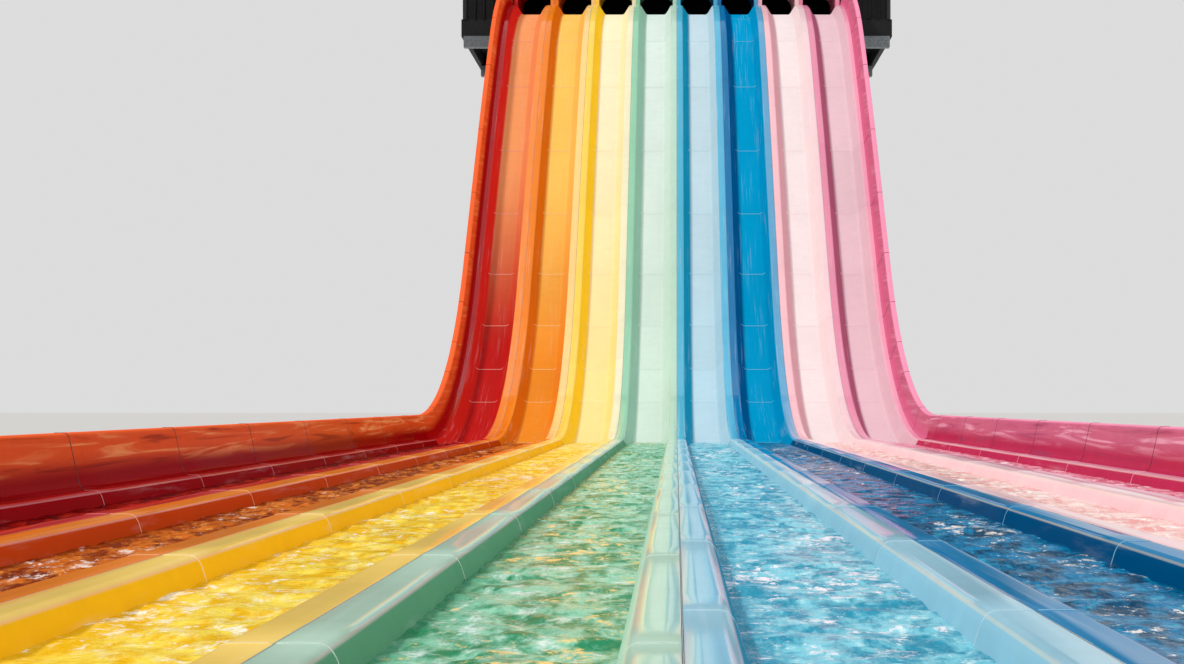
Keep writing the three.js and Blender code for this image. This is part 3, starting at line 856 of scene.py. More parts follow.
for i, name in enumerate(laneNames):
    dress(waterPiece(f"water_{name}", i), waterMaterial(name), "water")
print("water done")


# a tree of Geometry Nodes that stands a shape on points, each turned by its own angles
def placingTree(name, inputs, buildShape):
    tree = bpy.data.node_groups.new(name, "GeometryNodeTree")
    for label, kind, default in [("Points", "Geometry", None), *inputs, ("Finish", "Material", None)]:
        socket = tree.interface.new_socket(name=label, in_out="INPUT", socket_type=f"NodeSocket{kind}")
        if default is not None:
            socket.default_value = default
    tree.interface.new_socket(name="Geometry", in_out="OUTPUT", socket_type="NodeSocketGeometry")
    given = named(tree.nodes.new("NodeGroupInput").outputs)
    kind = "GeometryNodeInputNamedAttribute"
    turn = outOf(tree, kind, {"Name": "turn"}, "Attribute", data_type="FLOAT_VECTOR")
    stood = outOf(tree, "GeometryNodeInstanceOnPoints", {
        "Points": given["Points"],
        "Instance": buildShape(tree, given),
        "Rotation": outOf(tree, "FunctionNodeEulerToRotation", {"Euler": turn}),
    })
    real = outOf(tree, "GeometryNodeRealizeInstances", {"Geometry": stood})
    painted = outOf(tree, "GeometryNodeSetMaterial", {"Geometry": real, "Material": given["Finish"]})
    feed(tree.nodes.new("NodeGroupOutput"), {0: painted})
    return tree


# hexagon head on a washer, standing along +Z
def boltShape(tree, given):
    radius, height = given["Radius"], given["Height"]
    sizes = [{"Vertices": 6, "Radius": radius, "Depth": height}]
    sizes += [{"Vertices": 12, "Radius": radius * 1.75, "Depth": height * 0.3}]
    head, washer = [outOf(tree, "GeometryNodeMeshCylinder", size, "Mesh") for size in sizes]
    lift = outOf(tree, "ShaderNodeCombineXYZ", {2: height * 0.65})
    both = tree.nodes.new("GeometryNodeJoinGeometry")
    feed(both, {0: outOf(tree, "GeometryNodeTransform", {"Geometry": head, "Translation": lift})})
    feed(both, {0: washer})
    return Value(both.outputs[0])


# a folded rib of trapezoid section, Length long along +Z, standing out along +Y
def ribShape(tree, given):
    width, rise = given["Width"], given["Rise"]
    size = {"Bottom Width": width, "Top Width": width * 0.5, "Height": rise, "Offset": 0.0}
    section = outOf(tree, "GeometryNodeCurvePrimitiveQuadrilateral", size, mode="TRAPEZOID")
    end = outOf(tree, "ShaderNodeCombineXYZ", {2: given["Length"]})
    curves = {"Curve": outOf(tree, "GeometryNodeCurvePrimitiveLine", {"End": end}), "Profile Curve": section}
    rib = outOf(tree, "GeometryNodeCurveToMesh", {**curves, "Fill Caps": True})
    out = outOf(tree, "ShaderNodeCombineXYZ", {1: rise * 0.5})
    return outOf(tree, "GeometryNodeTransform", {"Geometry": rib, "Translation": out})


def patternShape(tree, given):
    return outOf(tree, "GeometryNodeObjectInfo", {"Object": given["Pattern"]}, "Geometry")


boltTree = placingTree("boltRow", [("Radius", "Float", 0.012), ("Height", "Float", 0.01)], boltShape)
ribInputs = [("Length", "Float", 1.0), ("Width", "Float", 0.06), ("Rise", "Float", 0.02)]
ribTree = placingTree("ribRow", ribInputs, ribShape)
patternTree = placingTree("patternRow", [("Pattern", "Object", None)], patternShape)


# one plain mesh of the tree's shape on points, with one turn for each or one for all
def placeShapes(name, tree, spots, values, material):
    points, turns = spots
    carrier = bpy.data.meshes.new(name + "Points")
    carrier.from_pydata([tuple(p) for p in points], [], [])
    attribute = carrier.attributes.new("turn", "FLOAT_VECTOR", "POINT")
    every = np.broadcast_to(np.asarray(turns, dtype=np.float32), (len(points), 3))
    attribute.data.foreach_set("vector", every.ravel())
    holder = addPiece(name + "Holder", carrier)
    modifier = holder.modifiers.new("place", "NODES")
    modifier.node_group = tree
    sockets = {item.name: item.identifier for item in tree.interface.items_tree if item.in_out == "INPUT"}
    for label, value in {**values, "Finish": material}.items():
        modifier[sockets[label]] = value
    graph = bpy.context.evaluated_depsgraph_get()
    placed = holder.evaluated_get(graph)
    mesh = bpy.data.meshes.new_from_object(placed, preserve_all_data_layers=True, depsgraph=graph)
    mesh.name = name
    bpy.data.objects.remove(holder)
    bpy.data.meshes.remove(carrier)
    if mesh.attributes.get("turn"):
        mesh.attributes.remove(mesh.attributes["turn"])
    return addPiece(name, mesh)


# sheet steel, sealant and plain gel coats
def steelMaterial(name, base, dark, grain, rough=0.42, metal=0.55, grainScale=38.0, wear=0.35):
    material, tree, shader = newMaterial(name)
    parts = placeGroup(tree, steelGroup, {"Place": objectPlace(tree), "Grain Scale": grainScale})
    colour = mixColour(tree, parts["Grain"] * grain, linear(base), linear(dark))
    feed(shader, {
        "Base Color": mixColour(tree, parts["Wear"] * wear, colour, linear(dark)),
        "Roughness": parts["Grain"].ramp(0.0, 1.0, rough - 0.08, rough + 0.1),
        "Normal": bumped(tree, parts["Height"], 0.0015),
        "Metallic": metal,
        "Specular IOR Level": 0.5 if metal else 0.2,
    })
    return material


galvanised = steelMaterial("galvanisedSteel", (140, 147, 151), (98, 105, 109), 0.7)
deckSteel = steelMaterial("deckPaint", (34, 36, 38), (20, 21, 23), 0.4, 0.55, 0.0, 60.0)
claddingSheet = steelMaterial("claddingSheet", (20, 20, 22), (10, 10, 11), 0.5, 0.6, 0.0, 12.0)
roofSheet = steelMaterial("roofSheet", (62, 64, 68), (40, 42, 46), 0.4, 0.45, 0.2, 16.0)
trimSheet = steelMaterial("trimSheet", (44, 45, 48), (28, 29, 31), 0.3, 0.4, 0.3, 20.0, 0.3)
stainless = steelMaterial("stainlessFixings", (170, 172, 176), (120, 122, 126), 0.4, 0.3, 0.9, 80.0, 0.15)
endGel = steelMaterial("endWallGelCoat", (226, 232, 234), (196, 204, 208), 0.25, 0.25, 0.0, 5.0, 0.5)
seamSealant = steelMaterial("seamSealant", (168, 176, 178), (140, 150, 152), 0.4, 0.4, 0.0, 50.0, 0.3)
darkSealant = steelMaterial("darkJointSealant", (70, 40, 44), (48, 30, 34), 0.4, 0.5, 0.0, 50.0, 0.2)

slotMaterials = {
    "steelwork": galvanised,
    "deck": deckSteel,
    "cladding": claddingSheet,
    "roof": roofSheet,
    "end_wall": endGel,
}
slots = {row["node"]: row["material_slot"] for row in frame["record"]["subparts"]}
for name, node in nodes.items():
    finish = slotMaterials.get(slots.get(name))
    if finish:
        node.data.materials.clear()
        node.data.materials.append(finish)
print("steel finishes done")

# joints across the lanes and guard walls: thin ribbons of sealant that stand a little proud
strip = {
    "width": {"slope": 0.014, "runout": 0.006, "guard": 0.009},
    "proud": 0.0012,
    "bury": 0.0015,
    "slopeReach": 0.23,  # the bed only
    "tint": {"slope": 0.6, "runout": 0.4},  # share of the lane's own colours, the rest is white
}


# moves a line of (x, h) points, drawn from left to right, along its own normals
def offsetLine(line, amount):
    moved = []
    for i, (x, h) in enumerate(line):
        (ax, ah), (bx, bh) = line[max(i - 1, 0)], line[min(i + 1, len(line) - 1)]
        length = math.hypot(bx - ax, bh - ah)
        moved.append((x - (bh - ah) / length * amount, h + (bx - ax) / length * amount))
    return moved


# a slab between two lines of (x, h) points, upper and lower, from y = -half to y = half
def slab(upper, lower, half):
    count = len(upper)
    points = [(x, y, h) for y in (-half, half) for x, h in upper + lower]
    faces = []
    for i in range(count - 1):
        top, low, far = i, count + i, 2 * count
        faces += [(top, top + 1, far + top + 1, far + top), (low + 1, low, far + low, far + low + 1)]
        faces += [(top + 1, top, low, low + 1), (far + top, far + top + 1, far + low + 1, far + low)]
    for i in (0, count - 1):
        quad = (i, 2 * count + i, 3 * count + i, count + i)
        faces.append(quad if i == 0 else quad[::-1])
    return points, faces


def ribbon(line, width):
    return slab(offsetLine(line, strip["proud"]), offsetLine(line, -strip["bury"]), width / 2)


def laneTop(part):
    upper = laneHalf(part)[2:]
    return mirrored(upper) + upper[::-1]


# the guard wall's inner face from the coved foot to the lip, drawn from left to right
def guardFace(side, part):
    line = guardOutline(side, part)[3:24]
    return line if side > 0 else line[::-1]


# places and turns of the joints at x, raised above the floor by the given height
def jointSpots(part, x, raised=0.0, right=False):
    places = [pathAt(s) for s in slopeJoints]
    if part == "runout":
        places = [(y, lane["troughFloor"], 0.0) for y in runoutJointPlaces(right)]
    points = [(x, y - raised * math.sin(angle), z + raised * math.cos(angle)) for y, z, angle in places]
    return points, [(angle, 0.0, 0.0) for _, _, angle in places]


def joinSpots(rows):
    points, turns = zip(*rows)
    return sum(points, []), sum(turns, [])


# copies of one mesh at the spots
def patternRow(name, mesh, spots, material, slot):
    pattern = addMesh(f"{name}Pattern", *mesh)
    piece = placeShapes(name, patternTree, spots, {"Pattern": pattern}, material)
    bpy.data.objects.remove(pattern)
    finishPiece(piece, slot)


def boltRow(name, spots, radius, height):
    piece = placeShapes(name, boltTree, spots, {"Radius": radius, "Height": height}, stainless)
    finishPiece(piece, "fasteners")


# sealant tinted towards the lane's own colours
def tintedSealant(name, part):
    high, low, cap = laneColours[name][:3]
    bed, share = high if part == "slope" else low, strip["tint"][part]
    pale = tuple((a + b) / 2 * share + 255 * (1 - share) for a, b in zip(bed, cap))
    dull = tuple(channel * 0.9 for channel in pale)
    return steelMaterial(f"sealant_{name}_{part}", pale, dull, 0.4, 0.4, 0.0, 50.0, 0.2)


def jointStrips():
    lines = {part: laneTop(part) for part in sections}
    lines["slope"] = [p for p in lines["slope"] if abs(p[0]) < strip["slopeReach"]]
    for i, name in enumerate(laneNames):
        for part, line in lines.items():
            spots = jointSpots(part, laneX(i), lap[part], i >= halfLanes)
            mesh, sealant = ribbon(line, strip["width"][part]), tintedSealant(name, part)
            patternRow(f"{part}JointStrips_{name}", mesh, spots, sealant, "joint_seals")
    for side, end in ends:
        for part in sections:
            spots = jointSpots(part, 0.0, lap[part], side > 0)
            mesh = ribbon(guardFace(side, part), strip["width"]["guard"])
            patternRow(f"{part}GuardJoints_{end}", mesh, spots, darkSealant, "joint_seals")


jointStrips()

# beads of sealant in the seams between neighbouring lanes
bead = {"below": 0.0016, "depth": 0.012, "play": 0.0001}


def seamBeads():
    half = lane["seamGap"] - bead["play"]
    for part, section in sections.items():
        top, foot = section["depth"] - bead["below"], section["depth"] - bead["depth"]
        outline = [(half, foot), (half, top), (-half, top), (-half, foot)]
        stations = stationsOf(part, False)
        runs = [sweepMesh(outline, stations, seamX(seam)) for seam in range(1, len(laneNames))]
        dress(addMesh(f"{part}SeamBeads", *joinMeshes(runs)), seamSealant, "joint_seals")


seamBeads()

# bolts of the flanges in the seams, along the slope and the runout
seamBolts = {"radius": 0.009, "height": 0.008, "below": 0.048, "lift": 0.001}
boltPitch = {"slope": 0.42, "runout": 0.5}
boltStart = {"slope": 0.25, "runout": 0.2}


def flangeBolts():
    points, turns = [], []
    ss = np.arange(boltStart["slope"], slopeLength, boltPitch["slope"])
    ys = np.arange(nearY + boltStart["runout"], toeY, boltPitch["runout"])
    places = [(*pathAt(s), "slope") for s in ss] + [(y, lane["troughFloor"], 0.0, "runout") for y in ys]
    reach = lane["seamGap"] + lane["skin"] + seamBolts["lift"]
    for seam in range(len(laneNames) + 1):
        sides = {0: [-1], len(laneNames): [1]}.get(seam, [-1, 1])
        for y, z, angle, part in places:
            h = sections[part]["depth"] - seamBolts["below"]
            for side in sides:
                points.append((seamX(seam) + side * reach, y - h * math.sin(angle), z + h * math.cos(angle)))
                turns.append((0.0, side * math.pi / 2, 0.0))
    boltRow("flangeBolts", (points, turns), seamBolts["radius"], seamBolts["height"])


flangeBolts()
print("joints and flange bolts done")

# foot bolts of the columns
footBolts = {"radius": 0.022, "height": 0.02, "inset": 0.05, "plateHalf": 0.21, "plateTop": 0.025}
columnX = [-3.3, 0.0, 3.3]


def columnFootBolts():
    reach = footBolts["plateHalf"] - footBolts["inset"]
    level = footBolts["plateTop"] + footBolts["height"] * 0.15
    boxes = [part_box(f"bent_{i}") for i in range(1, 7)]
    points = [
        (x + dx * reach, (low[1] + high[1]) / 2 + dy * reach, level)
        for low, high in boxes
        for x in columnX
        for dx in (-1, 1)
        for dy in (-1, 1)
    ]
    boltRow("columnFootBolts", (points, (0.0, 0.0, 0.0)), footBolts["radius"], footBolts["height"])


columnFootBolts()


# moves a ring of (u, v) points inwards along its mitres
def insetRing(ring, amount):
    moved = []
    for i, (u, v) in enumerate(ring):
        normals = []
        for (au, av), (bu, bv) in ((ring[i - 1], ring[i]), (ring[i], ring[(i + 1) % len(ring)])):
            length = math.hypot(bu - au, bv - av)
            normals.append(((av - bv) / length, (bu - au) / length))
        (pu, pv), (qu, qv) = normals
        scale = amount / (1 + pu * qu + pv * qv)
        moved.append((u + (pu + qu) * scale, v + (pv + qv) * scale))
    return moved


# a solid of the given outline with chamfered rims, thick along the named axis and centred on it
def plateMesh(outline, thickness, chamfer, axis):
    ring = outline if areaOf(outline) > 0 else outline[::-1]
    inner, half, count = insetRing(ring, chamfer), thickness / 2, len(ring)
    layers = [(inner, -half), (ring, chamfer - half), (ring, half - chamfer), (inner, half)]
    order = {"x": (2, 0, 1), "y": (0, 2, 1), "z": (0, 1, 2)}[axis]
    points = [tuple((u, v, w)[k] for k in order) for layer, w in layers for u, v in layer]
    faces = [tuple(reversed(range(count))), tuple(range(3 * count, 4 * count))] + ringFaces(4, count)
    return points, [face[::-1] for face in faces] if axis == "y" else faces


def cutRectangle(length, height, cut):
    u, v = length / 2, height / 2
    return [
        (-u + cut, -v), (u - cut, -v), (u, -v + cut), (u, v - cut),
        (u - cut, v), (-u + cut, v), (-u, v - cut), (-u, -v + cut),
    ]


plate = {"thick": 0.010, "chamfer": 0.002, "boltLift": 0.002}


# plates at (x, y, z, angle, side) spots, turned about the named axis; gives the spots of their bolts
def boltedPlates(name, outline, holes, spots, axis):
    turns = [(angle, 0.0, 0.0) if axis == "x" else (0.0, -angle, 0.0) for *_, angle, _ in spots]
    mesh = plateMesh(outline, plate["thick"], plate["chamfer"], axis)
    patternRow(name, mesh, ([spot[:3] for spot in spots], turns), galvanised, "steelwork")
    points, spins = [], []
    for x, y, z, angle, side in spots:
        out, spin = side * (plate["thick"] / 2 + plate["boltLift"]), side * math.pi / 2
        for u, v in holes:
            run = u * math.cos(angle) - v * math.sin(angle)
            rise = z + u * math.sin(angle) + v * math.cos(angle)
            points.append((x + out, y + run, rise) if axis == "x" else (x + run, y + out, rise))
            spins.append((0.0, spin, 0.0) if axis == "x" else (-spin, 0.0, 0.0))
    return points, spins


# splice plates on both sides of every raker, where its lengths meet
splice = {
    "places": [4.061, 6.768, 13.465],
    "depth": 0.26,
    "rakerHalf": 0.07,
    "length": 0.42,
    "height": 0.2,
    "cut": 0.02,
    "holes": [(u, v) for u in (-0.16, -0.07, 0.07, 0.16) for v in (-0.06, 0.06)],
    "bolt": (0.013, 0.013),
}


def rakerSplices():
    out, depth = splice["rakerHalf"] + plate["thick"] / 2, splice["depth"]
    spots = [
        (x + side * out, y + depth * math.sin(angle), z - depth * math.cos(angle), angle, side)
        for y, z, angle in map(pathAt, splice["places"])
        for x in columnX
        for side in (-1, 1)
    ]
    outline = cutRectangle(splice["length"], splice["height"], splice["cut"])
    places = boltedPlates("rakerSplices", outline, splice["holes"], spots, "x")
    boltRow("spliceBolts", places, *splice["bolt"])


rakerSplices()

# gusset plates at the ends of the braces
gusset = {
    "length": 0.4,
    "height": 0.19,
    "cut": 0.03,
    "fromNode": 0.30,
    "braceHalf": 0.045,
    "diagonalHalf": 0.032,
    "sidePlane": 3.4453,
    "holes": [(u, v) for u in (-0.12, 0.04, 0.14) for v in (-0.026, 0.026)],
    "bolt": (0.012, 0.012),
}
# the bents that have braces: y, and the braces' levels on the middle column and on the outer columns
bentBraces = {
    7.7433: [(0.025, 1.99)],
    10.2433: [(0.025, 3.05), (4.76, 3.05)],
    12.7433: [(0.025, 3.05), (6.15, 3.05), (6.15, 7.512)],
    15.7467: [(0.025, 3.05), (6.15, 3.05), (6.15, 9.102)],
    19.1967: [(0.025, 3.05), (6.15, 3.05), (6.15, 9.102)],
}
# y and levels that the diagonals of the side bracing run between
sideDiagonals = [
    (7.7433, 0.555, 10.2433, 3.005),
    (10.2433, 0.555, 12.7433, 3.005),
    (12.7433, 3.005, 15.7467, 6.105),
    (15.7467, 3.005, 19.1967, 0.555),
    (15.7467, 3.005, 19.1967, 6.105),
]


# places near both ends of a line, with its angle
def nearEnds(u0, v0, u1, v1):
    angle = math.atan2(v1 - v0, u1 - u0)
    along, up = gusset["fromNode"] * math.cos(angle), gusset["fromNode"] * math.sin(angle)
    return [(u0 + along, v0 + up, angle), (u1 - along, v1 - up, angle)]


def bracePlates():
    outline = cutRectangle(gusset["length"], gusset["height"], gusset["cut"])
    braceOut, sideOut = [gusset[half] + plate["thick"] / 2 for half in ("braceHalf", "diagonalHalf")]
    bentSpots = [
        (x, row + side * braceOut, z, angle, side)
        for row, levels in bentBraces.items()
        for inner, outer in levels
        for end in (-1, 1)
        for x, z, angle in nearEnds(0.0, inner, end * columnX[2], outer - gusset["braceHalf"])
        for side in (-1, 1)
    ]
    sideSpots = [
        (wall * gusset["sidePlane"] + side * sideOut, y, z, angle, side)
        for wall in (-1, 1)
        for diagonal in sideDiagonals
        for y, z, angle in nearEnds(*diagonal)
        for side in (-1, 1)
    ]
    rows = [("bentGussets", bentSpots, "y"), ("sideGussets", sideSpots, "x")]
    places = [boltedPlates(name, outline, gusset["holes"], spots, axis) for name, spots, axis in rows]
    boltRow("gussetBolts", joinSpots(places), *gusset["bolt"])


bracePlates()
print("splices and gussets done")

# flanges behind the guard walls and under the lanes, bolted face to face at every joint
flange = {
    "thick": 0.007,
    "apart": 0.0045,
    "reach": 0.032,
    "boltLift": 0.001,
    "web": 0.055,  # width of the web behind a guard wall
    "bevel": 0.02,
    "gap": 0.0005,
    "chamfer": 0.001,
    "guardHoles": [(0.03, -0.04), (0.042, 0.1), (0.066, 0.2), (0.094, 0.27)],  # out and up from the caps
    "guardBolt": (0.010, 0.009),
    "underHoles": (-0.15, 0.15),
    "underShare": 0.55,  # depth of the holes as a share of the reach
    "underBolt": (0.009, 0.008),
}
flangeGel = {
    "left": steelMaterial("flangeGelCoat_left", (206, 62, 26), (160, 36, 16), 0.3, 0.35, 0.0, 6.0, 0.3),
    "right": steelMaterial("flangeGelCoat_right", (204, 104, 134), (170, 70, 100), 0.3, 0.35, 0.0, 6.0, 0.3),
    "under": steelMaterial("underFlangeGelCoat", (206, 210, 212), (176, 182, 186), 0.3, 0.4, 0.0, 6.0, 0.4),
}


# outline of the web between a guard wall's back and its lip
def webOutline(side, part):
    back = guardOutline(side, part)[:-10:-1]
    (footX, low), (_, depth), (tipX, tip) = back[0], back[1], back[-1]
    inner, bevel = footX + side * flange["web"], flange["bevel"]
    return back + [(tipX - side * bevel, tip - bevel), (inner, depth + bevel / 2), (inner, low)]


# shifts a row of spots along the slope or runout to both sides of each joint
def pairedSpots(spots):
    places, turns = spots
    apart = flange["apart"]
    moved = [
        (x, y + side * apart * math.cos(angle), z + side * apart * math.sin(angle))
        for side in (-1, 1)
        for (x, y, z), (angle, _, _) in zip(places, turns)
    ]
    return moved, turns * 2


# bolts on both faces of flanges at (x, h) holes
def jointBolts(spots, holes):
    points, spins = [], []
    reach = flange["apart"] + flange["thick"] / 2 + flange["boltLift"]
    for (x, y, z), (angle, _, _) in zip(*spots):
        sine, cosine = math.sin(angle), math.cos(angle)
        for hx, h in holes:
            for out, side in ((-reach, -1), (reach, 1)):
                points.append((x + hx, y - h * sine + out * cosine, z + h * cosine + out * sine))
                spins.append((angle - side * math.pi / 2, 0.0, 0.0))
    return points, spins


def guardFlanges():
    rows = []
    for side, end in ends:
        for part, section in sections.items():
            spots = jointSpots(part, 0.0, right=side > 0)
            mesh = plateMesh(webOutline(side, part), flange["thick"], flange["chamfer"], "y")
            patternRow(f"{part}GuardFlanges_{end}", mesh, pairedSpots(spots), flangeGel[end], guardSlots[end])
            back, depth = outerFace + lane["skin"], section["depth"]
            holes = [(side * (back + out), depth + up) for out, up in flange["guardHoles"]]
            rows.append(jointBolts(spots, holes))
    boltRow("guardFlangeBolts", joinSpots(rows), *flange["guardBolt"])


def underFlanges():
    foot, low, high, *rest = underHalf("slope")[1:]
    under = [foot, ((low[0] + high[0]) / 2, (low[1] + high[1]) / 2)] + rest
    line = mirrored(under) + under[::-1]
    gap, reach = flange["gap"], flange["reach"]
    mesh = slab(offsetLine(line, -gap), offsetLine(line, -reach), flange["thick"] / 2)
    holes = [(x, -lane["skin"] - reach * flange["underShare"]) for x in flange["underHoles"]]
    spots = joinSpots([jointSpots("slope", laneX(i)) for i in range(len(laneNames))])
    patternRow("laneUnderFlanges", mesh, pairedSpots(spots), flangeGel["under"], "joint_seals")
    boltRow("underFlangeBolts", jointBolts(spots, holes), *flange["underBolt"])


guardFlanges()
underFlanges()
print("flanges done")

# ribbed sheet on the start house
cladRibs = {
    "pitch": 0.2,
    "width": 0.07,
    "rise": 0.022,
    "margins": (0.1, 0.05),
    "sideMargins": (0.16, 0.02),
    "frontReach": (3.86, 4.6),
    "overDoor": 0.01,
    "lintelFoot": 0.03,
}
roofRibs = {"count": 21, "width": 0.03, "rise": 0.04, "side": 0.08, "inset": 0.057, "fall": 0.06}
doorways = {"x": 4.155, "width": 0.85, "height": 2.1, "trim": 0.06}
facing = (0.0, 0.0, math.pi)  # turn of a rib on a wall that faces the slope


def ribRow(name, points, turn, length, size=cladRibs, material=claddingSheet, slot="cladding"):
    values = {"Length": length, "Width": size["width"], "Rise": size["rise"]}
    finishPiece(placeShapes(name, ribTree, (points, turn), values, material), slot)


def inDoorway(x):
    half = doorways["width"] / 2 + doorways["trim"] + cladRibs["width"] / 2
    return abs(abs(x) - doorways["x"]) < half


# places of ribs along a wall's box, on the axis given by its number
def ribPlaces(low, high, axis, margins):
    first, last = margins
    return np.arange(low[axis] + first, high[axis] - last, cladRibs["pitch"])


def houseRibs():
    for side, end in ends:
        low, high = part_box(f"start_house_wall_{end}")
        x, tall = (low if side < 0 else high)[0], high[2] - low[2]
        points = [(x, y, low[2]) for y in ribPlaces(low, high, 1, cladRibs["sideMargins"])]
        ribRow(f"wallRibs_{end}", points, (0.0, 0.0, -side * math.pi / 2), tall)
        front = np.arange(*cladRibs["frontReach"], cladRibs["pitch"])
        points = [(side * x, low[1], low[2]) for x in front]
        ribRow(f"frontRibs_{end}", points, facing, tall)
    low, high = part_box("start_house_rear_wall")
    across = ribPlaces(low, high, 0, cladRibs["margins"])
    above = doorways["height"] + doorways["trim"] + cladRibs["overDoor"]
    for name, raised, atDoor in (("rearRibs", 0.0, False), ("overDoorRibs", above, True)):
        points = [(x, high[1], low[2] + raised) for x in across if inDoorway(x) == atDoor]
        ribRow(name, points, (0.0, 0.0, 0.0), high[2] - low[2] - raised)
    low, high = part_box("start_house_lintel")
    foot = low[2] + cladRibs["lintelFoot"]
    points = [(x, low[1], foot) for x in ribPlaces(low, high, 0, cladRibs["margins"])]
    ribRow("lintelRibs", points, facing, high[2] - foot)
    low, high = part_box("start_house_roof")
    fall, inset = math.atan2(roofRibs["fall"], high[1] - low[1]), roofRibs["inset"]
    level = high[2] - roofRibs["fall"] + inset * math.tan(fall) - 0.001
    xs = np.linspace(low[0] + roofRibs["side"], high[0] - roofRibs["side"], roofRibs["count"])
    points, length = [(x, high[1] - inset, level) for x in xs], high[1] - low[1] - 2 * inset
    ribRow("roofSeams", points, (math.pi / 2 - fall, 0.0, 0.0), length, roofRibs, roofSheet, "roof")


houseRibs()

# architraves, thresholds, corner flashings and the roof's edge trim
trim = {"lap": 0.036, "outer": 0.055, "stand": 0.030, "lining": 0.015, "flashing": 0.026, "leg": 0.055}
threshold = {"depth": 0.19, "cut": 0.004, "thick": 0.008, "chamfer": 0.002, "back": 0.0965, "lift": 0.0045}


# carries a closed section of (out, along) points round a line of corners; place gives a point's x, y and z
def mitred(section, corners, place, closed=False):
    count, total = len(section), len(corners)
    points = [place(corner, out, along) for corner in corners for out, along in section]
    sides = ringFaces(total + 1 if closed else total, count)
    faces = [tuple(i % len(points) for i in face) for face in sides]
    if not closed:
        faces += [tuple(reversed(range(count))), tuple(range((total - 1) * count, total * count))]
    return outward(points, faces)


# turns every face of a closed solid outwards
def outward(points, faces):
    volume = 0.0
    for face in faces:
        for j, k in zip(face[1:], face[2:]):
            volume += np.dot(points[face[0]], np.cross(points[j], points[k]))
    return points, faces if volume > 0 else [face[::-1] for face in faces]


def doorFrames():
    low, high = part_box("start_house_rear_wall")
    outer, stand, lining = trim["outer"], trim["stand"], trim["lining"]
    section = [(-lining, -0.089), (trim["lap"], -0.089), (trim["lap"], -0.0805), (0.0005, -0.0805)]
    section += [(0.0005, 0.0005), (outer, 0.0005), (outer, stand - 0.006), (outer - 0.006, stand)]
    section += [(-lining + 0.006, stand), (-lining, stand - 0.006)]
    half, head = doorways["width"] / 2, low[2] + doorways["height"]
    corners = [(-1, low[2], 0), (-1, head, 1), (1, head, 1), (1, low[2], 0)]
    outline = cutRectangle(doorways["width"] - 2 * lining, threshold["depth"], threshold["cut"])
    back, level = high[1] - threshold["back"], deckBox[1][2] + threshold["lift"]
    for side, end in ends:
        middle = side * doorways["x"]
        place = lambda c, out, along: (middle + c[0] * (half + out), high[1] + along, c[1] + c[2] * out)
        dress(addMesh(f"doorFrame_{end}", *mitred(section, corners, place)), trimSheet, "cladding")
        points, faces = plateMesh(outline, threshold["thick"], threshold["chamfer"], "z")
        points = [(x + middle, y + back, z + level) for x, y, z in points]
        dress(addMesh(f"threshold_{end}", points, faces), galvanised, "deck")


def cornerFlashings():
    low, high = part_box("start_house_wall_left")
    out, leg = trim["flashing"], trim["leg"]
    section = [(0.0, -leg), (out - 0.003, -leg), (out, -leg + 0.003), (out, out - 0.006)]
    section += [(out - 0.002, out - 0.002), (out - 0.006, out), (-leg + 0.003, out), (-leg, out - 0.003)]
    section += [(-leg, 0.0), (0.0, 0.0)]
    corners = [low[2] + 0.0005, high[2] - 0.0005]
    meshes = []
    for sx in (-1, 1):
        for sy, wall in ((-1, low[1]), (1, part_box("start_house_rear_wall")[1][1])):
            place = lambda z, u, v: (sx * (-low[0] + u), wall + sy * v, z)
            meshes.append((*mitred(section, corners, place), [(0.0, 0.0)] * 2 * len(section)))
    dress(addMesh("cornerFlashings", *joinMeshes(meshes)), trimSheet, "cladding")


def roofTrim():
    (x0, y0, _), (x1, y1, top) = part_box("start_house_roof")
    section = [(0.012, -0.118), (0.014, -0.116), (0.005, -0.104), (0.005, 0.001), (0.001, 0.005)]
    section += [(-0.055, 0.005), (-0.055, 0.0006), (0.0006, 0.0006), (0.0006, -0.103)]
    rearTop = top - roofRibs["fall"]
    corners = [(x0, y0, top, -1, -1), (x1, y0, top, 1, -1), (x1, y1, rearTop, 1, 1), (x0, y1, rearTop, -1, 1)]
    place = lambda c, out, up: (c[0] + c[3] * out, c[1] + c[4] * out, c[2] + up)
    dress(addMesh("roofTrim", *mitred(section, corners, place, True)), trimSheet, "roof")


endWall = {"roll": 0.014, "ribWidth": 0.07, "ribRise": 0.012, "ribFoot": 0.06, "ribShort": 0.124}


# the near end of the troughs: a moulded wall with a foot flange, a rounded coping and ribs at the lane seams
def nearEndWall():
    (x0, y0, _), (x1, y1, top) = endWallBox
    out = y0 - endWall["roll"]
    outline = [(y1, 0.0), (y1, top - 0.008), (y1 - 0.008, top)]
    outline += bezier((y0 + 0.012, top), (out, top), (out, top - 0.03), 6)
    outline += [(out, top - 0.05), (y0 - 0.010, top - 0.06), (y0, top - 0.068)]
    outline += [(y0, 0.066), (y0 - 0.010, 0.058), (out, 0.05), (out, 0.0)]
    wall = addMesh("nearEndWall", *plateMesh(outline, x1 - x0, 0.003, "x"))
    dress(wall, endGel, "end_wall", "runout_end_wall")
    spots = [(seamX(seam), y0, endWall["ribFoot"]) for seam in range(len(laneNames) + 1)]
    size = {"width": endWall["ribWidth"], "rise": endWall["ribRise"]}
    ribRow("endWallRibs", spots, facing, top - endWall["ribShort"], size, endGel, "end_wall")


doorFrames()
cornerFlashings()
roofTrim()
nearEndWall()
print("start house and end wall done")

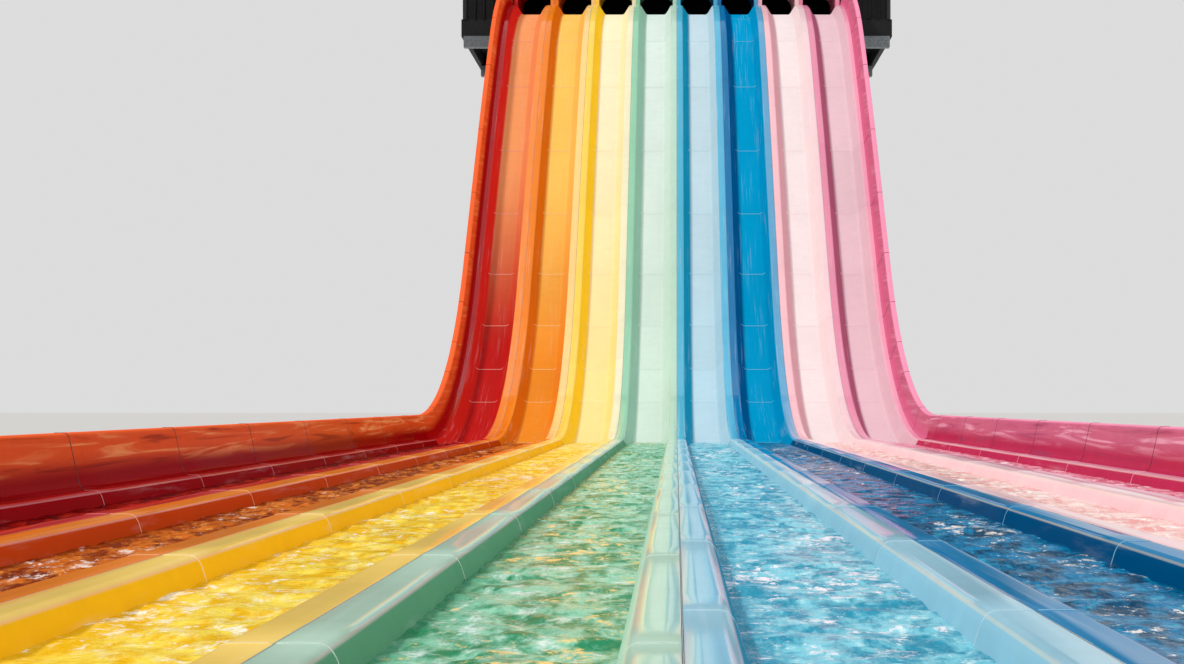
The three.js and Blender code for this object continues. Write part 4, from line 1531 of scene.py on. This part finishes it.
# floor, light and camera
studio = {"floor": (206, 204, 200), "floorReach": 160.0, "floorLevel": -0.002, "backdrop": 0.72}
lights = {
    "sun": {"energy": 1.9, "softness": 6.0, "colour": (1.0, 0.96, 0.9), "turn": (45, 0, -60)},
    "fill": {"energy": 0.7, "softness": 60, "colour": (1.0, 1.0, 1.0), "turn": (57, 0, 65)},
}
view = {
    "lens": 53.51,
    "sensor": 36.0,
    "place": (-0.015, -23.1567, 1.151),
    "shift": (-0.07095, 0.05912),
    "clip": 400.0,
}


def addFloor():
    mesh = bpy.data.meshes.new("studioFloor")
    reach, level = studio["floorReach"], studio["floorLevel"]
    corners = [(x * reach, y * reach, level) for x, y in ((-1, -1), (1, -1), (1, 1), (-1, 1))]
    mesh.from_pydata(corners, [], [(0, 1, 2, 3)])
    material, _, shader = newMaterial("paleFloor")
    feed(shader, {"Base Color": linear(studio["floor"]), "Roughness": 0.8})
    mesh.materials.append(material)
    addPiece("studioFloor", mesh)


def addLights():
    for name, light in lights.items():
        data = bpy.data.lights.new(name, "SUN")
        data.energy = light["energy"]
        data.angle = math.radians(light["softness"])
        data.color = light["colour"]
        addPiece(name, data).rotation_euler = [math.radians(angle) for angle in light["turn"]]


# a soft sky; glossy surfaces see a darker one with a pale patch low at the right
def addSky():
    world = bpy.data.worlds.new("studioSky")
    world.use_nodes = True
    tree = world.node_tree
    x, y, height = outOf(tree, "ShaderNodeTexCoord", None, "Generated").split()
    ray = named(tree.nodes.new("ShaderNodeLightPath").outputs)
    fill = mixColour(tree, height.ramp(0.0, 0.7), (0.44, 0.43, 0.42, 1.0), (0.54, 0.56, 0.60, 1.0))
    glossy = mixColour(tree, height.ramp(0.15, 0.85), grey(0.05), (0.85, 0.86, 0.9, 1.0))
    beside = x.calc("DIVIDE", y.calc("MAXIMUM", 0.02)).ramp(0.17, 0.24) * height.ramp(0.5, 0.3)
    glossy = mixColour(tree, beside, glossy, (0.78, 0.77, 0.74, 1.0))
    sky = mixColour(tree, ray["Is Glossy Ray"], fill, glossy)
    colour = mixColour(tree, ray["Is Camera Ray"], sky, grey(studio["backdrop"]))
    feed(tree.nodes["Background"], {"Color": colour, "Strength": 1.0})
    bpy.context.scene.world = world
    bpy.context.scene.view_settings.view_transform = "Standard"


def addCamera():
    data = bpy.data.cameras.new("camera")
    data.sensor_width = view["sensor"]
    data.lens = view["lens"]
    data.shift_x, data.shift_y = view["shift"]
    data.clip_end = view["clip"]
    camera = addPiece("camera", data)
    camera.location = view["place"]
    camera.rotation_euler = (math.pi / 2, 0.0, 0.0)
    bpy.context.scene.camera = camera


addFloor()
addLights()
addSky()
addCamera()
print("studio done")
